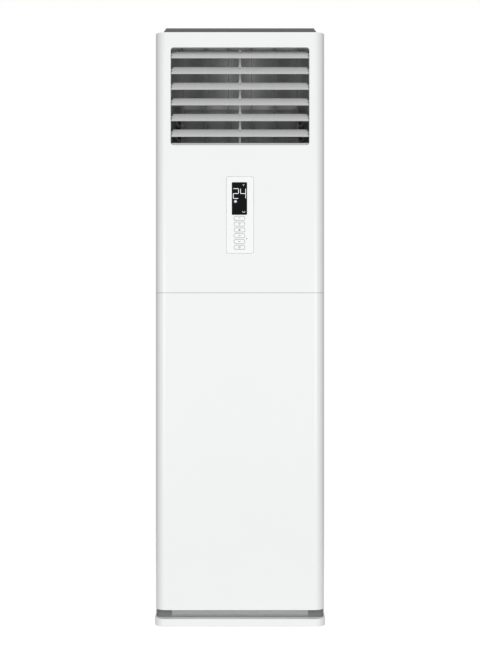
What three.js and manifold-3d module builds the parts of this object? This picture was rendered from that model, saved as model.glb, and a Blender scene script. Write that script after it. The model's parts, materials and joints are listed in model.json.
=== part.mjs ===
// Floor standing air conditioner: the indoor cabinet of a split system.
// Millimetres, +Z up, the front faces -Y, and the origin is under the middle of the plinth.
import * as THREE from "three";
import { mergeVertices } from "three/addons/utils/BufferGeometryUtils.js";
import Module from "manifold-3d";

const wasm = await Module();
wasm.setup();

// ---------------------------------------------------------------- driving dimensions

const FIT = 0.3; // gap between seated pieces
const SHEET = 1.5; // steel sheet
const SHELL = 3; // moulded panels
const ROUND_SIDES = 32; // facets of the large round pieces
const CAN_SIDES = 16; // facets of the small ones

// Plinth and chassis
const CABINET_WIDTH = 494;
const BASE_PROUD = 2; // the plinth stands out by this much on each side
const BASE_WIDTH = CABINET_WIDTH + 2 * BASE_PROUD;
const BASE_DEPTH = 322;
const BASE_HEIGHT = 22;
const BASE_SKIN = 4; // wall over the hollows under the plinth
const BASE_RIB = 44; // width of the cross under the plinth
const BASE_RIM = 12; // width of the plinth's rim
const FRONT_SETBACK = 12; // the panels stand this far behind the plinth's front
const REAR_SETBACK = 3;
const TOE_SIDE = 15; // from the cabinet's side to the toe frame
const TOE_WIDTH = CABINET_WIDTH - 2 * TOE_SIDE;
const TOE_SETBACK = 31; // from the plinth's front edge to the toe frame
const TOE_STRIP_SIDE = 48;
const TOE_STRIP_WIDTH = CABINET_WIDTH - 2 * TOE_STRIP_SIDE;
const TOE_STRIP_DEPTH = 12;
const TOE_REAR_SETBACK = 23; // from the plinth's rear edge
const PAN_UPSTAND = 34;
const PAN_UPSTAND_SIDE = 21;
const PAN_UPSTAND_WIDTH = CABINET_WIDTH - 2 * PAN_UPSTAND_SIDE;

// Cabinet
const CORNER_RADIUS = 29;
const CORNER_STEPS = 5;
const PANEL_RETURN = 39; // how far the front panels wrap back along the sides
const TOE_GAP = 24; // between the plinth and the panels
const PANEL_BOTTOM = BASE_HEIGHT + TOE_GAP;
const PANEL_TOP = 1729;
const UPPER_PANEL_HEIGHT = 759;
const PANEL_SEAM = PANEL_TOP - UPPER_PANEL_HEIGHT;
const SEAM_GAP = 2.5;
const CASING_FLANGE = 16;
const RAIL_HEIGHT = 30;
const RAIL_DEPTH = 13;
const CLIP_SIDE = 57; // from the cabinet's side
const CLIP_PITCH = CABINET_WIDTH - 2 * CLIP_SIDE;
const CLIP_RADIUS = 7;
const CLIP_TIP_RADIUS = 3;
const CLIP_TIP_LENGTH = 6;
const CLIP_INSET = 18; // from the lower panel's top and bottom edges

// Top cap and wall bracket
const CAP_RISE = 21; // over the front panel's top
const CAP_TOP = PANEL_TOP + CAP_RISE;
const CAP_SIDE = 15.5;
const CAP_WIDTH = CABINET_WIDTH - 2 * CAP_SIDE;
const CAP_SLANT = 14.5; // how far each end leans in towards the top
const CAP_SETBACK = 44; // behind the front panels
const CAP_REAR_SETBACK = 45; // in front of the casings' rear
const BRACKET_WIDTH = 50;
const BRACKET_SHEET = 2;
const BRACKET_FOOT = 42;
const BRACKET_HEIGHT = 20;
const BRACKET_WALL_GAP = 0.5; // from the plane of the plinth's rear edge
const BRACKET_HOLE_RADIUS = 3.5;
const BRACKET_HOLE_PITCH = 30;
const BRACKET_HOLE_RISE = 12; // over the bracket's foot

// Air outlet
const OUTLET_SIDE = 45; // from the cabinet's side
const OUTLET_WIDTH = CABINET_WIDTH - 2 * OUTLET_SIDE;
const OUTLET_DROP = 44; // under the panel's top
const OUTLET_TOP = PANEL_TOP - OUTLET_DROP;
const OUTLET_HEIGHT = 285;
const OUTLET_BOTTOM = OUTLET_TOP - OUTLET_HEIGHT;
const OUTLET_RADIUS = 8;
const OUTLET_LIP = 10; // depth of the return round the opening
const DUCT_CLEARANCE = 2; // the duct's cheeks stand this far outside the opening
const DUCT_UNDER = 17; // room in the duct under the opening
const DUCT_OVER = 9; // and over it
const DUCT_FLOOR = OUTLET_BOTTOM - DUCT_UNDER;
const DUCT_ROOF = OUTLET_TOP + DUCT_OVER;
const DUCT_DEPTH = 90;
const DUCT_WALL = 3;
const DUCT_FLANGE = 9;
const SILL_RISE = 7.5; // the frame's sill shows this much over the bottom of the opening

// Louvers
const LOUVER_COUNT = 6;
const LOUVER_FIRST = 15.8; // top axis under the top of the opening
const LOUVER_LAST = 40.2; // bottom axis over its bottom
const LOUVER_RECESS = 6; // front edge behind the face of the panel
const LOUVER_FRONT = 21; // axis to front edge
const LOUVER_REAR = 19; // axis to rear edge
const LOUVER_THICKNESS = 2.4;
const LOUVER_CAMBER = 2;
const LOUVER_EDGE_TAPER = 0.45; // share of the thickness lost at the two edges
const LOUVER_STATIONS = 6; // points along each side of the blade's section
const LOUVER_TILT = 40; // front edge down, at rest
const LOUVER_END_GAP = 1;
const LOUVER_CORNER = [5, 36]; // the rear corners' slant, across and along the end
const LINK_NOTCH = 16; // depth of the notch that the link stands in
const LOUVER_PIN_RADIUS = 2.1;
const CRANK_RADIUS = 17; // louver axis to link pin
const CRANK_PIN_RADIUS = 1.5;
const PIN_CLEARANCE = 0.35; // radial, in every pin hole of the two linkages
const EAR_WIDTH = 2.2;
const EAR_HEIGHT = 4.8;
const PIN_ROOT = 6; // length of a pivot pin inside its blade
const LINK_WIDTH = 6;
const LINK_DEPTH = 7;
const LINK_SIDE_GAP = 0.6;
const LINK_LIFT = 4; // over the bottom of the opening
const LINK_END = 2.4; // material past the last pin hole

// Upright vanes behind the louvers
const VANE_COUNT = 6;
const VANE_PITCH = (OUTLET_WIDTH + 2 * DUCT_CLEARANCE) / VANE_COUNT;
const VANE_AXIS_DEPTH = 76; // behind the face of the panel
const VANE_FRONT = 25;
const VANE_REAR = 20;
const VANE_THICKNESS = 1.8;
const VANE_END_GAP = 1;
const VANE_PIN_RADIUS = 2;
const VANE_CRANK = 20;
const VANE_LINK_OFFSET = 1.5; // over the middle of the duct
const VANE_LINK_HEIGHT = (DUCT_FLOOR + DUCT_ROOF) / 2 + VANE_LINK_OFFSET;
const VANE_LINK_SECTION = [6, 8]; // depth and height
const VANE_NOTCH = 12; // how far the link's notch cuts into a vane
const VANE_LINK_END = 3;

// Drive motors of the louvers and vanes
const SWING_MOTOR_RADIUS = 14;
const SWING_MOTOR_LENGTH = 20;
const SWING_SHAFT_DEPTH = 4; // blind bore that takes the pin
const SWING_MOTOR_OFFSET = 8; // the motor's shaft is off its centre by this much
const LOUVER_MOTOR_AT = 2; // counted from the top louver

// Control fascia
const FASCIA_WIDTH = 79;
const FASCIA_HEIGHT = 223;
const FASCIA_DROP = 92; // under the outlet
const FASCIA_TOP = OUTLET_BOTTOM - FASCIA_DROP;
const FASCIA_BOTTOM = FASCIA_TOP - FASCIA_HEIGHT;
const FASCIA_RADIUS = 6;
const FASCIA_PROUD = 0.5;
const FASCIA_FLANGE = 4;
const FASCIA_BACK = 1.5; // thickness of the flange behind the panel
const WINDOW_WIDTH = 44;
const WINDOW_HEIGHT = 94.5;
const WINDOW_X = -1.6; // the window and the buttons sit left of the middle
const WINDOW_DROP = 17.55; // under the fascia's top
const WINDOW_BOTTOM = FASCIA_TOP - WINDOW_DROP - WINDOW_HEIGHT;
const WINDOW_PROUD = 0.2;
const WINDOW_FLANGE = 2;
const BUTTON_COUNT = 6;
const BUTTON_PITCH = 16.9;
const BUTTON_DROP = 9.05; // middle of the top button under the window
const BUTTON_WIDTH = 30;
const BUTTON_HEIGHT = 10.5;
const BUTTON_RADIUS = 4;
const BUTTON_GAP = 0.4;
const BUTTON_PROUD = 0.3;
const BUTTON_FLANGE = [1.6, 1.2]; // reach and thickness of the rim behind the fascia
const BUTTON_TRAVEL = 0.8;
const BOARD_INSET = [3.5, 4.5]; // inside the fascia's sides and ends
const BOARD_SIZE = [FASCIA_WIDTH - 2 * BOARD_INSET[0], FASCIA_HEIGHT - 2 * BOARD_INSET[1]];
const BOARD_THICKNESS = 1.6;
const BOARD_SETBACK = 1.6; // from a pressed button to the board
const SWITCH_SIZE = 6;
const POST_RADIUS = 2.5;
const POST_INSET = [4, 6]; // from the board's sides and ends

// Foam liner, mid deck and the plate in front of the plenum
const LINER_THICKNESS = 12;
const LINER_FRONT = 55; // behind the face of the panel
const DECK_DROP = 330; // under the seam of the panels
const DECK_HEIGHT = PANEL_SEAM - DECK_DROP;
const DECK_SHEET = 2;
const PLENUM_SETBACK = 65; // the plate's front, behind the face of the panel
const PLENUM_HEIGHT = 360; // over the deck

// Evaporator, leaning back
const COIL_SIDE = 71; // room for the bends and pipes beside the coil
const COIL_WIDTH = CABINET_WIDTH - 2 * COIL_SIDE;
const COIL_DEPTH = 44;
const COIL_LENGTH = 660;
const COIL_CLEARANCE = 8.5; // left over in the room's depth when the coil leans
const COIL_SHIFT = 4; // behind the middle of that room
const COIL_RISE = 588; // from the deck to the coil's middle
const COIL_GROOVE_PITCH = 16;
const COIL_GROOVE = [2, 5]; // width and depth of a fin groove
const COIL_PLATE_RIM = 3; // the end plates stand proud of the fins
const BEND_ROWS = 2;
const BEND_COUNT = 5;
const BEND_ROW_PITCH = 22;
const BEND_RADIUS = 12.5;
const BEND_TUBE_RADIUS = 4.8;
const BEND_STRAIGHT = 6; // from the end plate to the start of a return bend
const PAN_DEPTH = 68;
const PAN_HEIGHT = 24;
const PAN_SIDE = 22;
const PAN_WIDTH = CABINET_WIDTH - 2 * PAN_SIDE;
const PAN_WALL = 2;
const PAN_CLEAR = 5; // the coil's lowest edge above the pan's floor
const COIL_REST = [12, 4]; // width of the coil's rests and their reach in front of its middle
const SPIGOT_RADIUS = 9;
const SPIGOT_BORE = 6;
const SPIGOT_LENGTH = 14;
const SPIGOT_SIDE = 42;
const SPIGOT_X = -CABINET_WIDTH / 2 + SPIGOT_SIDE;

// Refrigerant pipes and drain hose
const PIPE_PASS = 0.9; // radial gap where a pipe passes the mid deck
const SUCTION_RADIUS = 8;
const LIQUID_RADIUS = 4.8;
const PIPE_SIDE = 26;
const PIPE_RUN_X = CABINET_WIDTH / 2 - PIPE_SIDE;
const SUCTION_TOP = 190; // where the header starts, along the coil from its middle
const LIQUID_START = -110;
const PIPE_STRAIGHT = [60, 240]; // over and under the deck
const SUCTION_DROP = 96; // the long drop's axis in front of the casings' rear
const LIQUID_DROP = 72;
const PIPE_END_INSET = 12; // the pipes end this far in front of the rear panel
const PIPE_HOLE_RADIUS = 34;
const REAR_HOLE_SIDE = 51; // both holes of the rear panel, from the cabinet's side
const PIPE_HOLE_RISE = 66; // over the panels' bottom
const PIPE_HOLE = [CABINET_WIDTH / 2 - REAR_HOLE_SIDE, PANEL_BOTTOM + PIPE_HOLE_RISE];
const HOSE_RADIUS = 10;
const HOSE_PASS = 2;
const HOSE_HOLE_RISE = 50;
const HOSE_HOLE = [-CABINET_WIDTH / 2 + REAR_HOLE_SIDE, PANEL_BOTTOM + HOSE_HOLE_RISE];
const HOSE_BLOWER_GAP = 8.2; // between the hose and the blower's front
const HOSE_STRAIGHT = [60, 200];

// Blower
const BLOWER_WALL = 3;
const BLOWER_LEFT_GAP = 20.92; // between the scroll and the left casing
const BLOWER_LIFT = 27.21; // under the scroll, over the floor pan
const BLOWER_REAR_GAP = 58; // between the housing and the casings' rear flanges
const SCROLL_SIDE = 79;
const SCROLL_START = CABINET_WIDTH / 2 - SCROLL_SIDE; // radius at the tongue
const SCROLL_GROWTH = 64;
const SCROLL_END = SCROLL_START + SCROLL_GROWTH; // radius where the outlet begins
const TONGUE_ANGLE = 75;
const SCROLL_STEPS = 22;
const IMPELLER_TIP_GAP = 13; // to the scroll at the tongue
const IMPELLER_RADIUS = SCROLL_START - IMPELLER_TIP_GAP;
const INLET_INSET = 37; // the inlet is this much smaller than the impeller
const INLET_RADIUS = IMPELLER_RADIUS - INLET_INSET;
const INLET_LIP = 14;
const INLET_FLANGE = 8; // from the lip to the ring's outer edge
const INLET_THROAT = 9; // how deep the ring reaches into the impeller's eye
const IMPELLER_BLADE = 26; // radial length of a blade
const IMPELLER_WIDTH = 84;
const IMPELLER_DISC = 3;
const IMPELLER_BLADES = 26;
const IMPELLER_GAP = 7; // behind the housing's front wall
const IMPELLER_REAR_GAP = 33; // to the housing's rear wall, for the motor's nose
const BLADE_THICKNESS = 1.6;
const BLADE_SWEEP = 5; // degrees
const HUB_RADIUS = 22;
const HUB_LENGTH = 26;
const SHAFT_RADIUS = 6;
const SHAFT_CLEARANCE = 0.4;
const SHAFT_STUB = 8; // in front of the impeller's hub
const MOTOR_RADIUS = 58;
const MOTOR_HOLE_CLEARANCE = 6;
const MOTOR_HOLE_RADIUS = MOTOR_RADIUS + MOTOR_HOLE_CLEARANCE;
const MOTOR_FLANGE_LAP = 18;
const MOTOR_FLANGE_RADIUS = MOTOR_HOLE_RADIUS + MOTOR_FLANGE_LAP;
const MOTOR_NOSE_GAP = 4.3; // between the motor's nose and the impeller
const MOTOR_TAIL = 34;
const MOTOR_FLANGE = 4;
const MOTOR_END_WALL = 6;
const BLOWER_FOOT_WIDTH = 24;
const BLOWER_FOOT_SPACING = 180;
const BLOWER_FOOT_LAP = 8; // the feet reach this far into the scroll's wall

// Air intakes in the side casings
const INTAKE_FRONT = 64; // behind the face of the panels
const INTAKE_REAR = 53; // in front of the casings' rear
const INTAKE_RISE = 104; // over the panels' bottom
const INTAKE_DROP = 40; // under the deck
const INTAKE_BOTTOM = PANEL_BOTTOM + INTAKE_RISE;
const INTAKE_TOP = DECK_HEIGHT - INTAKE_DROP;
const INTAKE_LEDGE = 7;
const GRILLE_THICKNESS = 3;
const GRILLE_PROUD = 0.2;
const GRILLE_MARGIN = 12;
const GRILLE_BAR = 6; // upright bar in the middle
const SLOT_PITCH = 25;
const SLOT_HEIGHT = 10;
const FILTER_THICKNESS = 5;
const FILTER_MESH = 1;
const FILTER_GAP = 2;
const FILTER_RIM = 8;
const FILTER_ROWS = 4;

// Electric box
const BOX_WIDTH = 300;
const BOX_RISE = 60; // over the deck
const BOX_BOTTOM = DECK_HEIGHT + BOX_RISE;
const BOX_HEIGHT = 200;
const BOX_DEPTH = 54;
const BOX_SHEET = 1.2;
const TERMINAL_SIZE = [90, 22, 34];
const TERMINAL_WAYS = 5;
const TERMINAL_POCKET = [12.6, 8.8, 20.4];
const TERMINAL_PLACE = [24, 40]; // from the box's left wall and floor
const COVER_LAP = 2;

// ---------------------------------------------------------------- derived places

const FACE = -BASE_DEPTH / 2 + FRONT_SETBACK; // face of the front panels
const BACK = BASE_DEPTH / 2 - REAR_SETBACK; // outer face of the casings' rear flanges
const HALF = CABINET_WIDTH / 2;
const INNER_HALF = HALF - SHEET;
const RETURN_END = FACE + PANEL_RETURN;
const CASING_FRONT = RETURN_END + FIT;
const PAN_TOP = PANEL_BOTTOM + DECK_SHEET;
const DUCT_HALF = OUTLET_WIDTH / 2 + DUCT_CLEARANCE;
const DUCT_FRONT = FACE + OUTLET_LIP + FIT;
const REAR_PANEL_FACE = BACK - SHEET - FIT; // outer face of the rear panel
const TOP_PLATE_BOTTOM = PANEL_TOP - SHELL;

// ---------------------------------------------------------------- geometry helpers

function solid(geometry) {
  const bare = geometry.index ? geometry.toNonIndexed() : geometry.clone();
  for (const key of Object.keys(bare.attributes)) {
    if (key !== "position") bare.deleteAttribute(key);
  }
  const merged = mergeVertices(bare, 1e-4);
  return new wasm.Manifold(
    new wasm.Mesh({
      numProp: 3,
      vertProperties: merged.attributes.position.array,
      triVerts: new Uint32Array(merged.index.array),
    }),
  );
}

function geometryOf(body) {
  const mesh = body.getMesh();
  const geometry = new THREE.BufferGeometry();
  geometry.setAttribute("position", new THREE.BufferAttribute(mesh.vertProperties, 3));
  geometry.setIndex(new THREE.BufferAttribute(mesh.triVerts, 1));
  geometry.computeVertexNormals();
  return geometry;
}

const join = (...parts) => geometryOf(parts.map(solid).reduce((a, b) => a.add(b)));

const cut = (base, ...tools) =>
  geometryOf(tools.map(solid).reduce((a, b) => a.subtract(b), solid(base)));

// A block between pairs of X, Y and Z.
function block([x0, x1], [y0, y1], [z0, z1]) {
  const geometry = new THREE.BoxGeometry(x1 - x0, y1 - y0, z1 - z0);
  return geometry.translate((x0 + x1) / 2, (y0 + y1) / 2, (z0 + z1) / 2);
}

function extruded(shape, length, curveSegments = 6) {
  return new THREE.ExtrudeGeometry(shape, {
    depth: length,
    bevelEnabled: false,
    curveSegments,
  });
}

// A shape drawn in X and Y, raised from z0 to z1.
const alongZ = (shape, [z0, z1], steps) => extruded(shape, z1 - z0, steps).translate(0, 0, z0);

// A shape drawn in X and Z, between y0 and y1.
const alongY = (shape, [y0, y1], steps) =>
  extruded(shape, y1 - y0, steps).rotateX(Math.PI / 2).translate(0, y1, 0);

// A shape drawn in Y and Z, between x0 and x1.
const alongX = (shape, [x0, x1], steps) =>
  extruded(shape, x1 - x0, steps).rotateX(Math.PI / 2).rotateZ(Math.PI / 2).translate(x0, 0, 0);

// A round rod between two places along one axis, "x", "y" or "z".
function rod(radius, axis, [from, to], [u, v], sides = 8) {
  const geometry = new THREE.CylinderGeometry(radius, radius, to - from, sides);
  const middle = (from + to) / 2;
  if (axis === "x") return geometry.rotateZ(-Math.PI / 2).translate(middle, u, v);
  if (axis === "y") return geometry.translate(u, middle, v);
  return geometry.rotateX(Math.PI / 2).translate(u, v, middle);
}

function roundedRect([left, right], [bottom, top], radius) {
  const shape = new THREE.Shape();
  const corner = (x, y, start) => shape.absarc(x, y, radius, start, start + Math.PI / 2, false);
  corner(right - radius, bottom + radius, -Math.PI / 2);
  corner(right - radius, top - radius, 0);
  corner(left + radius, top - radius, Math.PI / 2);
  corner(left + radius, bottom + radius, Math.PI);
  shape.closePath();
  return shape;
}

function rectangle([left, right], [bottom, top]) {
  const shape = new THREE.Shape();
  shape.moveTo(left, bottom);
  shape.lineTo(right, bottom);
  shape.lineTo(right, top);
  shape.lineTo(left, top);
  shape.closePath();
  return shape;
}

function circle(radius, [x, y] = [0, 0]) {
  const shape = new THREE.Shape();
  shape.absarc(x, y, radius, 0, 2 * Math.PI, false);
  return shape;
}

function withHoles(shape, ...holes) {
  shape.holes.push(...holes);
  return shape;
}

// The same outline grown outwards by a margin.
const grown = ([low, high], margin) => [low - margin, high + margin];
const spread = (width, centre = 0) => [centre - width / 2, centre + width / 2];

// A round tube or rod along a smooth curve through points.
function tube(points, radius, steps, sides = 7) {
  const curve = new THREE.CatmullRomCurve3(
    points.map((p) => new THREE.Vector3(...p)),
    false,
    "centripetal",
  );
  const section = new THREE.Shape();
  for (let i = 0; i < sides; i += 1) {
    const angle = (2 * Math.PI * i) / sides;
    const [x, y] = [radius * Math.cos(angle), radius * Math.sin(angle)];
    if (i === 0) section.moveTo(x, y);
    else section.lineTo(x, y);
  }
  section.closePath();
  return new THREE.ExtrudeGeometry(section, { steps, extrudePath: curve, bevelEnabled: false });
}

// ---------------------------------------------------------------- materials

function finish(color, roughness, metalness = 0) {
  return new THREE.MeshStandardMaterial({ color, roughness, metalness });
}

const whitePlastic = finish(0xf1f3f2, 0.42);
const fasciaPlastic = finish(0xf7f8f7, 0.35);
const greyPlastic = finish(0xb9bab9, 0.45);
const darkPlastic = finish(0x3c3e3e, 0.6);
const capPlastic = finish(0x666869, 0.55);
const blackGloss = finish(0x0d0d0f, 0.12);
const whiteSteel = finish(0xeceeed, 0.38, 0.1);
const zincSteel = finish(0xa4a8ab, 0.4, 0.85);
const toeSteel = finish(0x9a9c9c, 0.5, 0.2);
const aluminium = finish(0xc4c8cb, 0.35, 0.9);
const copper = finish(0xb4693f, 0.32, 0.95);
const foam = finish(0x55585a, 0.95);
const filterMesh = finish(0x2f4a63, 0.85);
const boardGreen = finish(0x1f5b35, 0.5);
const rubber = finish(0x222222, 0.8);

const airConditioner = new THREE.Group();
airConditioner.name = "floor_standing_air_conditioner";

function add(name, geometry, material, parent = airConditioner) {
  const mesh = new THREE.Mesh(geometry, material);
  mesh.name = name;
  parent.add(mesh);
  return mesh;
}

// ---------------------------------------------------------------- plinth and chassis

// Plan outline with rounded front corners; the rear corners are square.
function planOutline(halfWidth, front, back, radius) {
  const shape = new THREE.Shape();
  shape.moveTo(-halfWidth, back);
  shape.lineTo(-halfWidth, front + radius);
  shape.absarc(-halfWidth + radius, front + radius, radius, Math.PI, 1.5 * Math.PI, false);
  shape.lineTo(halfWidth - radius, front);
  shape.absarc(halfWidth - radius, front + radius, radius, 1.5 * Math.PI, 2 * Math.PI, false);
  shape.lineTo(halfWidth, back);
  shape.closePath();
  return shape;
}

function makePlinth() {
  const halfDepth = BASE_DEPTH / 2;
  const outline = planOutline(BASE_WIDTH / 2, -halfDepth, halfDepth, CORNER_RADIUS);
  const body = alongZ(outline, [0, BASE_HEIGHT], CORNER_STEPS);
  const hollows = [];
  for (const sideX of [-1, 1]) {
    for (const sideY of [-1, 1]) {
      const x = [BASE_RIB / 2, BASE_WIDTH / 2 - BASE_RIM].map((v) => v * sideX).sort((a, b) => a - b);
      const y = [BASE_RIB / 2, halfDepth - BASE_RIM].map((v) => v * sideY).sort((a, b) => a - b);
      hollows.push(block(x, y, [-1, BASE_HEIGHT - BASE_SKIN]));
    }
  }
  add("base_plinth", cut(body, ...hollows), whitePlastic);
}

function makeChassis() {
  const toeFront = -BASE_DEPTH / 2 + TOE_SETBACK;
  const ringFront = toeFront + TOE_STRIP_DEPTH;
  const ringZ = [BASE_HEIGHT + FIT, PANEL_BOTTOM - FIT];
  const wall = DECK_SHEET;
  const ring = withHoles(
    rectangle(spread(TOE_WIDTH), [ringFront, BASE_DEPTH / 2 - TOE_REAR_SETBACK]),
    rectangle(grown(spread(TOE_WIDTH), -wall), [ringFront + wall, BASE_DEPTH / 2 - TOE_REAR_SETBACK - wall]),
  );
  const strip = withHoles(
    rectangle(spread(TOE_STRIP_WIDTH), [toeFront, ringFront + wall]),
    rectangle(grown(spread(TOE_STRIP_WIDTH), -wall), [toeFront + wall, ringFront]),
  );
  const pan = block(
    spread(2 * (INNER_HALF - FIT)),
    [CASING_FRONT + SHEET + FIT, REAR_PANEL_FACE - SHEET - FIT],
    [PANEL_BOTTOM - 2 * FIT, PAN_TOP],
  );
  const clipHoles = [-1, 1].map((side) =>
    circle(CLIP_TIP_RADIUS + FIT, [(side * CLIP_PITCH) / 2, PANEL_BOTTOM + CLIP_INSET]),
  );
  const upstand = alongY(
    withHoles(
      rectangle(spread(PAN_UPSTAND_WIDTH), [PANEL_BOTTOM, PANEL_BOTTOM + PAN_UPSTAND]),
      ...clipHoles,
    ),
    [RETURN_END + 2 * FIT, RETURN_END + 2 * FIT + wall],
  );
  const frame = join(alongZ(ring, ringZ), alongZ(strip, ringZ), pan, upstand);
  add("chassis_frame", frame, toeSteel);
}

// ---------------------------------------------------------------- front panels

function wrapOutline() {
  const inner = CORNER_RADIUS - SHELL;
  const centreX = HALF - CORNER_RADIUS;
  const centreY = FACE + CORNER_RADIUS;
  const shape = new THREE.Shape();
  shape.moveTo(-HALF, RETURN_END);
  shape.lineTo(-HALF, centreY);
  shape.absarc(-centreX, centreY, CORNER_RADIUS, Math.PI, 1.5 * Math.PI, false);
  shape.lineTo(centreX, FACE);
  shape.absarc(centreX, centreY, CORNER_RADIUS, 1.5 * Math.PI, 2 * Math.PI, false);
  shape.lineTo(HALF, RETURN_END);
  shape.lineTo(HALF - SHELL, RETURN_END);
  shape.lineTo(HALF - SHELL, centreY);
  shape.absarc(centreX, centreY, inner, 2 * Math.PI, 1.5 * Math.PI, true);
  shape.lineTo(-centreX, FACE + SHELL);
  shape.absarc(-centreX, centreY, inner, 1.5 * Math.PI, Math.PI, true);
  shape.lineTo(-HALF + SHELL, RETURN_END);
  shape.closePath();
  return shape;
}

// The wrapped wall of a front panel with a flange across its top or bottom edge.
function panelShell([bottom, top], flanges) {
  const wall = alongZ(wrapOutline(), [bottom, top], CORNER_STEPS);
  const lids = flanges.map((z) =>
    alongZ(planOutline(HALF, FACE, RETURN_END, CORNER_RADIUS), [z, z + SHELL], CORNER_STEPS),
  );
  return join(wall, ...lids);
}

const outletX = spread(OUTLET_WIDTH);
const outletZ = [OUTLET_BOTTOM, OUTLET_TOP];
const fasciaX = spread(FASCIA_WIDTH);
const fasciaZ = [FASCIA_BOTTOM, FASCIA_TOP];
const lowerPanelZ = [PANEL_BOTTOM, PANEL_SEAM - SEAM_GAP / 2];

function makeUpperPanel() {
  const shell = panelShell([PANEL_SEAM + SEAM_GAP / 2, PANEL_TOP], [TOP_PLATE_BOTTOM]);
  const lip = alongY(
    roundedRect(grown(outletX, SHELL), grown(outletZ, SHELL), OUTLET_RADIUS + SHELL),
    [FACE + SHELL / 2, FACE + OUTLET_LIP],
  );
  const through = [FACE - 1, FACE + OUTLET_LIP + 1];
  const outlet = alongY(roundedRect(outletX, outletZ, OUTLET_RADIUS), through);
  const pocket = roundedRect(grown(fasciaX, FIT), grown(fasciaZ, FIT), FASCIA_RADIUS + FIT);
  const panel = cut(join(shell, lip), outlet, alongY(pocket, through));
  add("upper_front_panel", panel, whitePlastic);
}

function makeLowerPanel() {
  const [bottom, top] = lowerPanelZ;
  const shell = panelShell(lowerPanelZ, [bottom, top - SHELL]);
  const clips = [];
  for (const side of [-1, 1]) {
    for (const z of [bottom + CLIP_INSET, top - CLIP_INSET]) {
      const at = [(side * CLIP_PITCH) / 2, z];
      clips.push(rod(CLIP_RADIUS, "y", [FACE + SHELL / 2, RETURN_END], at));
      clips.push(rod(CLIP_TIP_RADIUS, "y", [RETURN_END - 1, RETURN_END + CLIP_TIP_LENGTH], at));
    }
  }
  add("lower_front_panel", join(shell, ...clips), whitePlastic);
}

// ---------------------------------------------------------------- casings, rear, rail, top

const intakeY = [FACE + INTAKE_FRONT, BACK - INTAKE_REAR];
const intakeZ = [INTAKE_BOTTOM, INTAKE_TOP];
const grilleInner = HALF + GRILLE_PROUD - GRILLE_THICKNESS;

function makeSideCasing(name, side) {
  const z = [PANEL_BOTTOM, TOP_PLATE_BOTTOM - FIT];
  const ledgeInner = grilleInner - FIT - SHEET;
  const flangeX = [INNER_HALF + SHEET / 2 - CASING_FLANGE, INNER_HALF + SHEET / 2];
  const wall = block([INNER_HALF, HALF], [CASING_FRONT, BACK], z);
  const frontFlange = block(flangeX, [CASING_FRONT, CASING_FRONT + SHEET], z);
  const rearFlange = block(flangeX, [BACK - SHEET, BACK], z);
  const ledge = block(
    [ledgeInner, INNER_HALF + SHEET / 2],
    grown(intakeY, SHEET),
    grown(intakeZ, SHEET),
  );
  const recess = block([grilleInner - FIT, HALF + 1], intakeY, intakeZ);
  const opening = block(
    [ledgeInner - 1, HALF + 1],
    grown(intakeY, -INTAKE_LEDGE),
    grown(intakeZ, -INTAKE_LEDGE),
  );
  const casing = cut(join(wall, frontFlange, rearFlange, ledge), recess, opening);
  add(name, side < 0 ? mirrored(casing) : casing, whiteSteel);
}

// The same piece on the other side of the middle plane.
function mirrored(geometry) {
  const copy = geometry.clone().scale(-1, 1, 1);
  const index = copy.index.array;
  for (let i = 0; i < index.length; i += 3) {
    [index[i + 1], index[i + 2]] = [index[i + 2], index[i + 1]];
  }
  copy.computeVertexNormals();
  return copy;
}

function makeIntake(suffix, side) {
  const grilleY = grown(intakeY, -FIT);
  const grilleZ = grown(intakeZ, -FIT);
  const slots = [];
  const slotX = [grilleInner - 1, HALF + GRILLE_PROUD + 1];
  const slotY = grown(grilleY, -GRILLE_MARGIN);
  const middle = (slotY[0] + slotY[1]) / 2;
  const count = Math.floor((INTAKE_TOP - INTAKE_BOTTOM - 2 * GRILLE_MARGIN) / SLOT_PITCH);
  const first = (grilleZ[0] + grilleZ[1]) / 2 - ((count - 1) * SLOT_PITCH) / 2;
  for (let i = 0; i < count; i += 1) {
    const z = spread(SLOT_HEIGHT, first + i * SLOT_PITCH);
    slots.push(block(slotX, [slotY[0], middle - GRILLE_BAR / 2], z));
    slots.push(block(slotX, [middle + GRILLE_BAR / 2, slotY[1]], z));
  }
  const grille = cut(block([grilleInner, HALF + GRILLE_PROUD], grilleY, grilleZ), ...slots);
  const filterY = grown(intakeY, -INTAKE_LEDGE - FILTER_GAP);
  const filterZ = grown(intakeZ, -INTAKE_LEDGE - FILTER_GAP);
  const filterX = [grilleInner - FIT - FILTER_THICKNESS, grilleInner - FIT];
  const windowHeight = (filterZ[1] - filterZ[0] - FILTER_RIM) / FILTER_ROWS;
  const pockets = [];
  for (let row = 0; row < FILTER_ROWS; row += 1) {
    const low = filterZ[0] + FILTER_RIM + row * windowHeight;
    pockets.push(
      block(
        [filterX[0] - 1, filterX[1] - FILTER_MESH],
        grown(filterY, -FILTER_RIM),
        [low, low + windowHeight - FILTER_RIM],
      ),
    );
  }
  const filter = cut(block(filterX, filterY, filterZ), ...pockets);
  const placed = (geometry) => (side < 0 ? mirrored(geometry) : geometry);
  add("intake_grille_" + suffix, placed(grille), whitePlastic);
  add("air_filter_" + suffix, placed(filter), filterMesh);
}

function makeRearPanel() {
  const outline = withHoles(
    rectangle(spread(2 * (INNER_HALF - FIT)), [PANEL_BOTTOM, TOP_PLATE_BOTTOM - FIT]),
    circle(PIPE_HOLE_RADIUS, PIPE_HOLE),
    circle(HOSE_RADIUS + HOSE_PASS, HOSE_HOLE),
  );
  add("rear_panel", alongY(outline, [REAR_PANEL_FACE - SHEET, REAR_PANEL_FACE], CAN_SIDES), whiteSteel);
}

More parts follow.
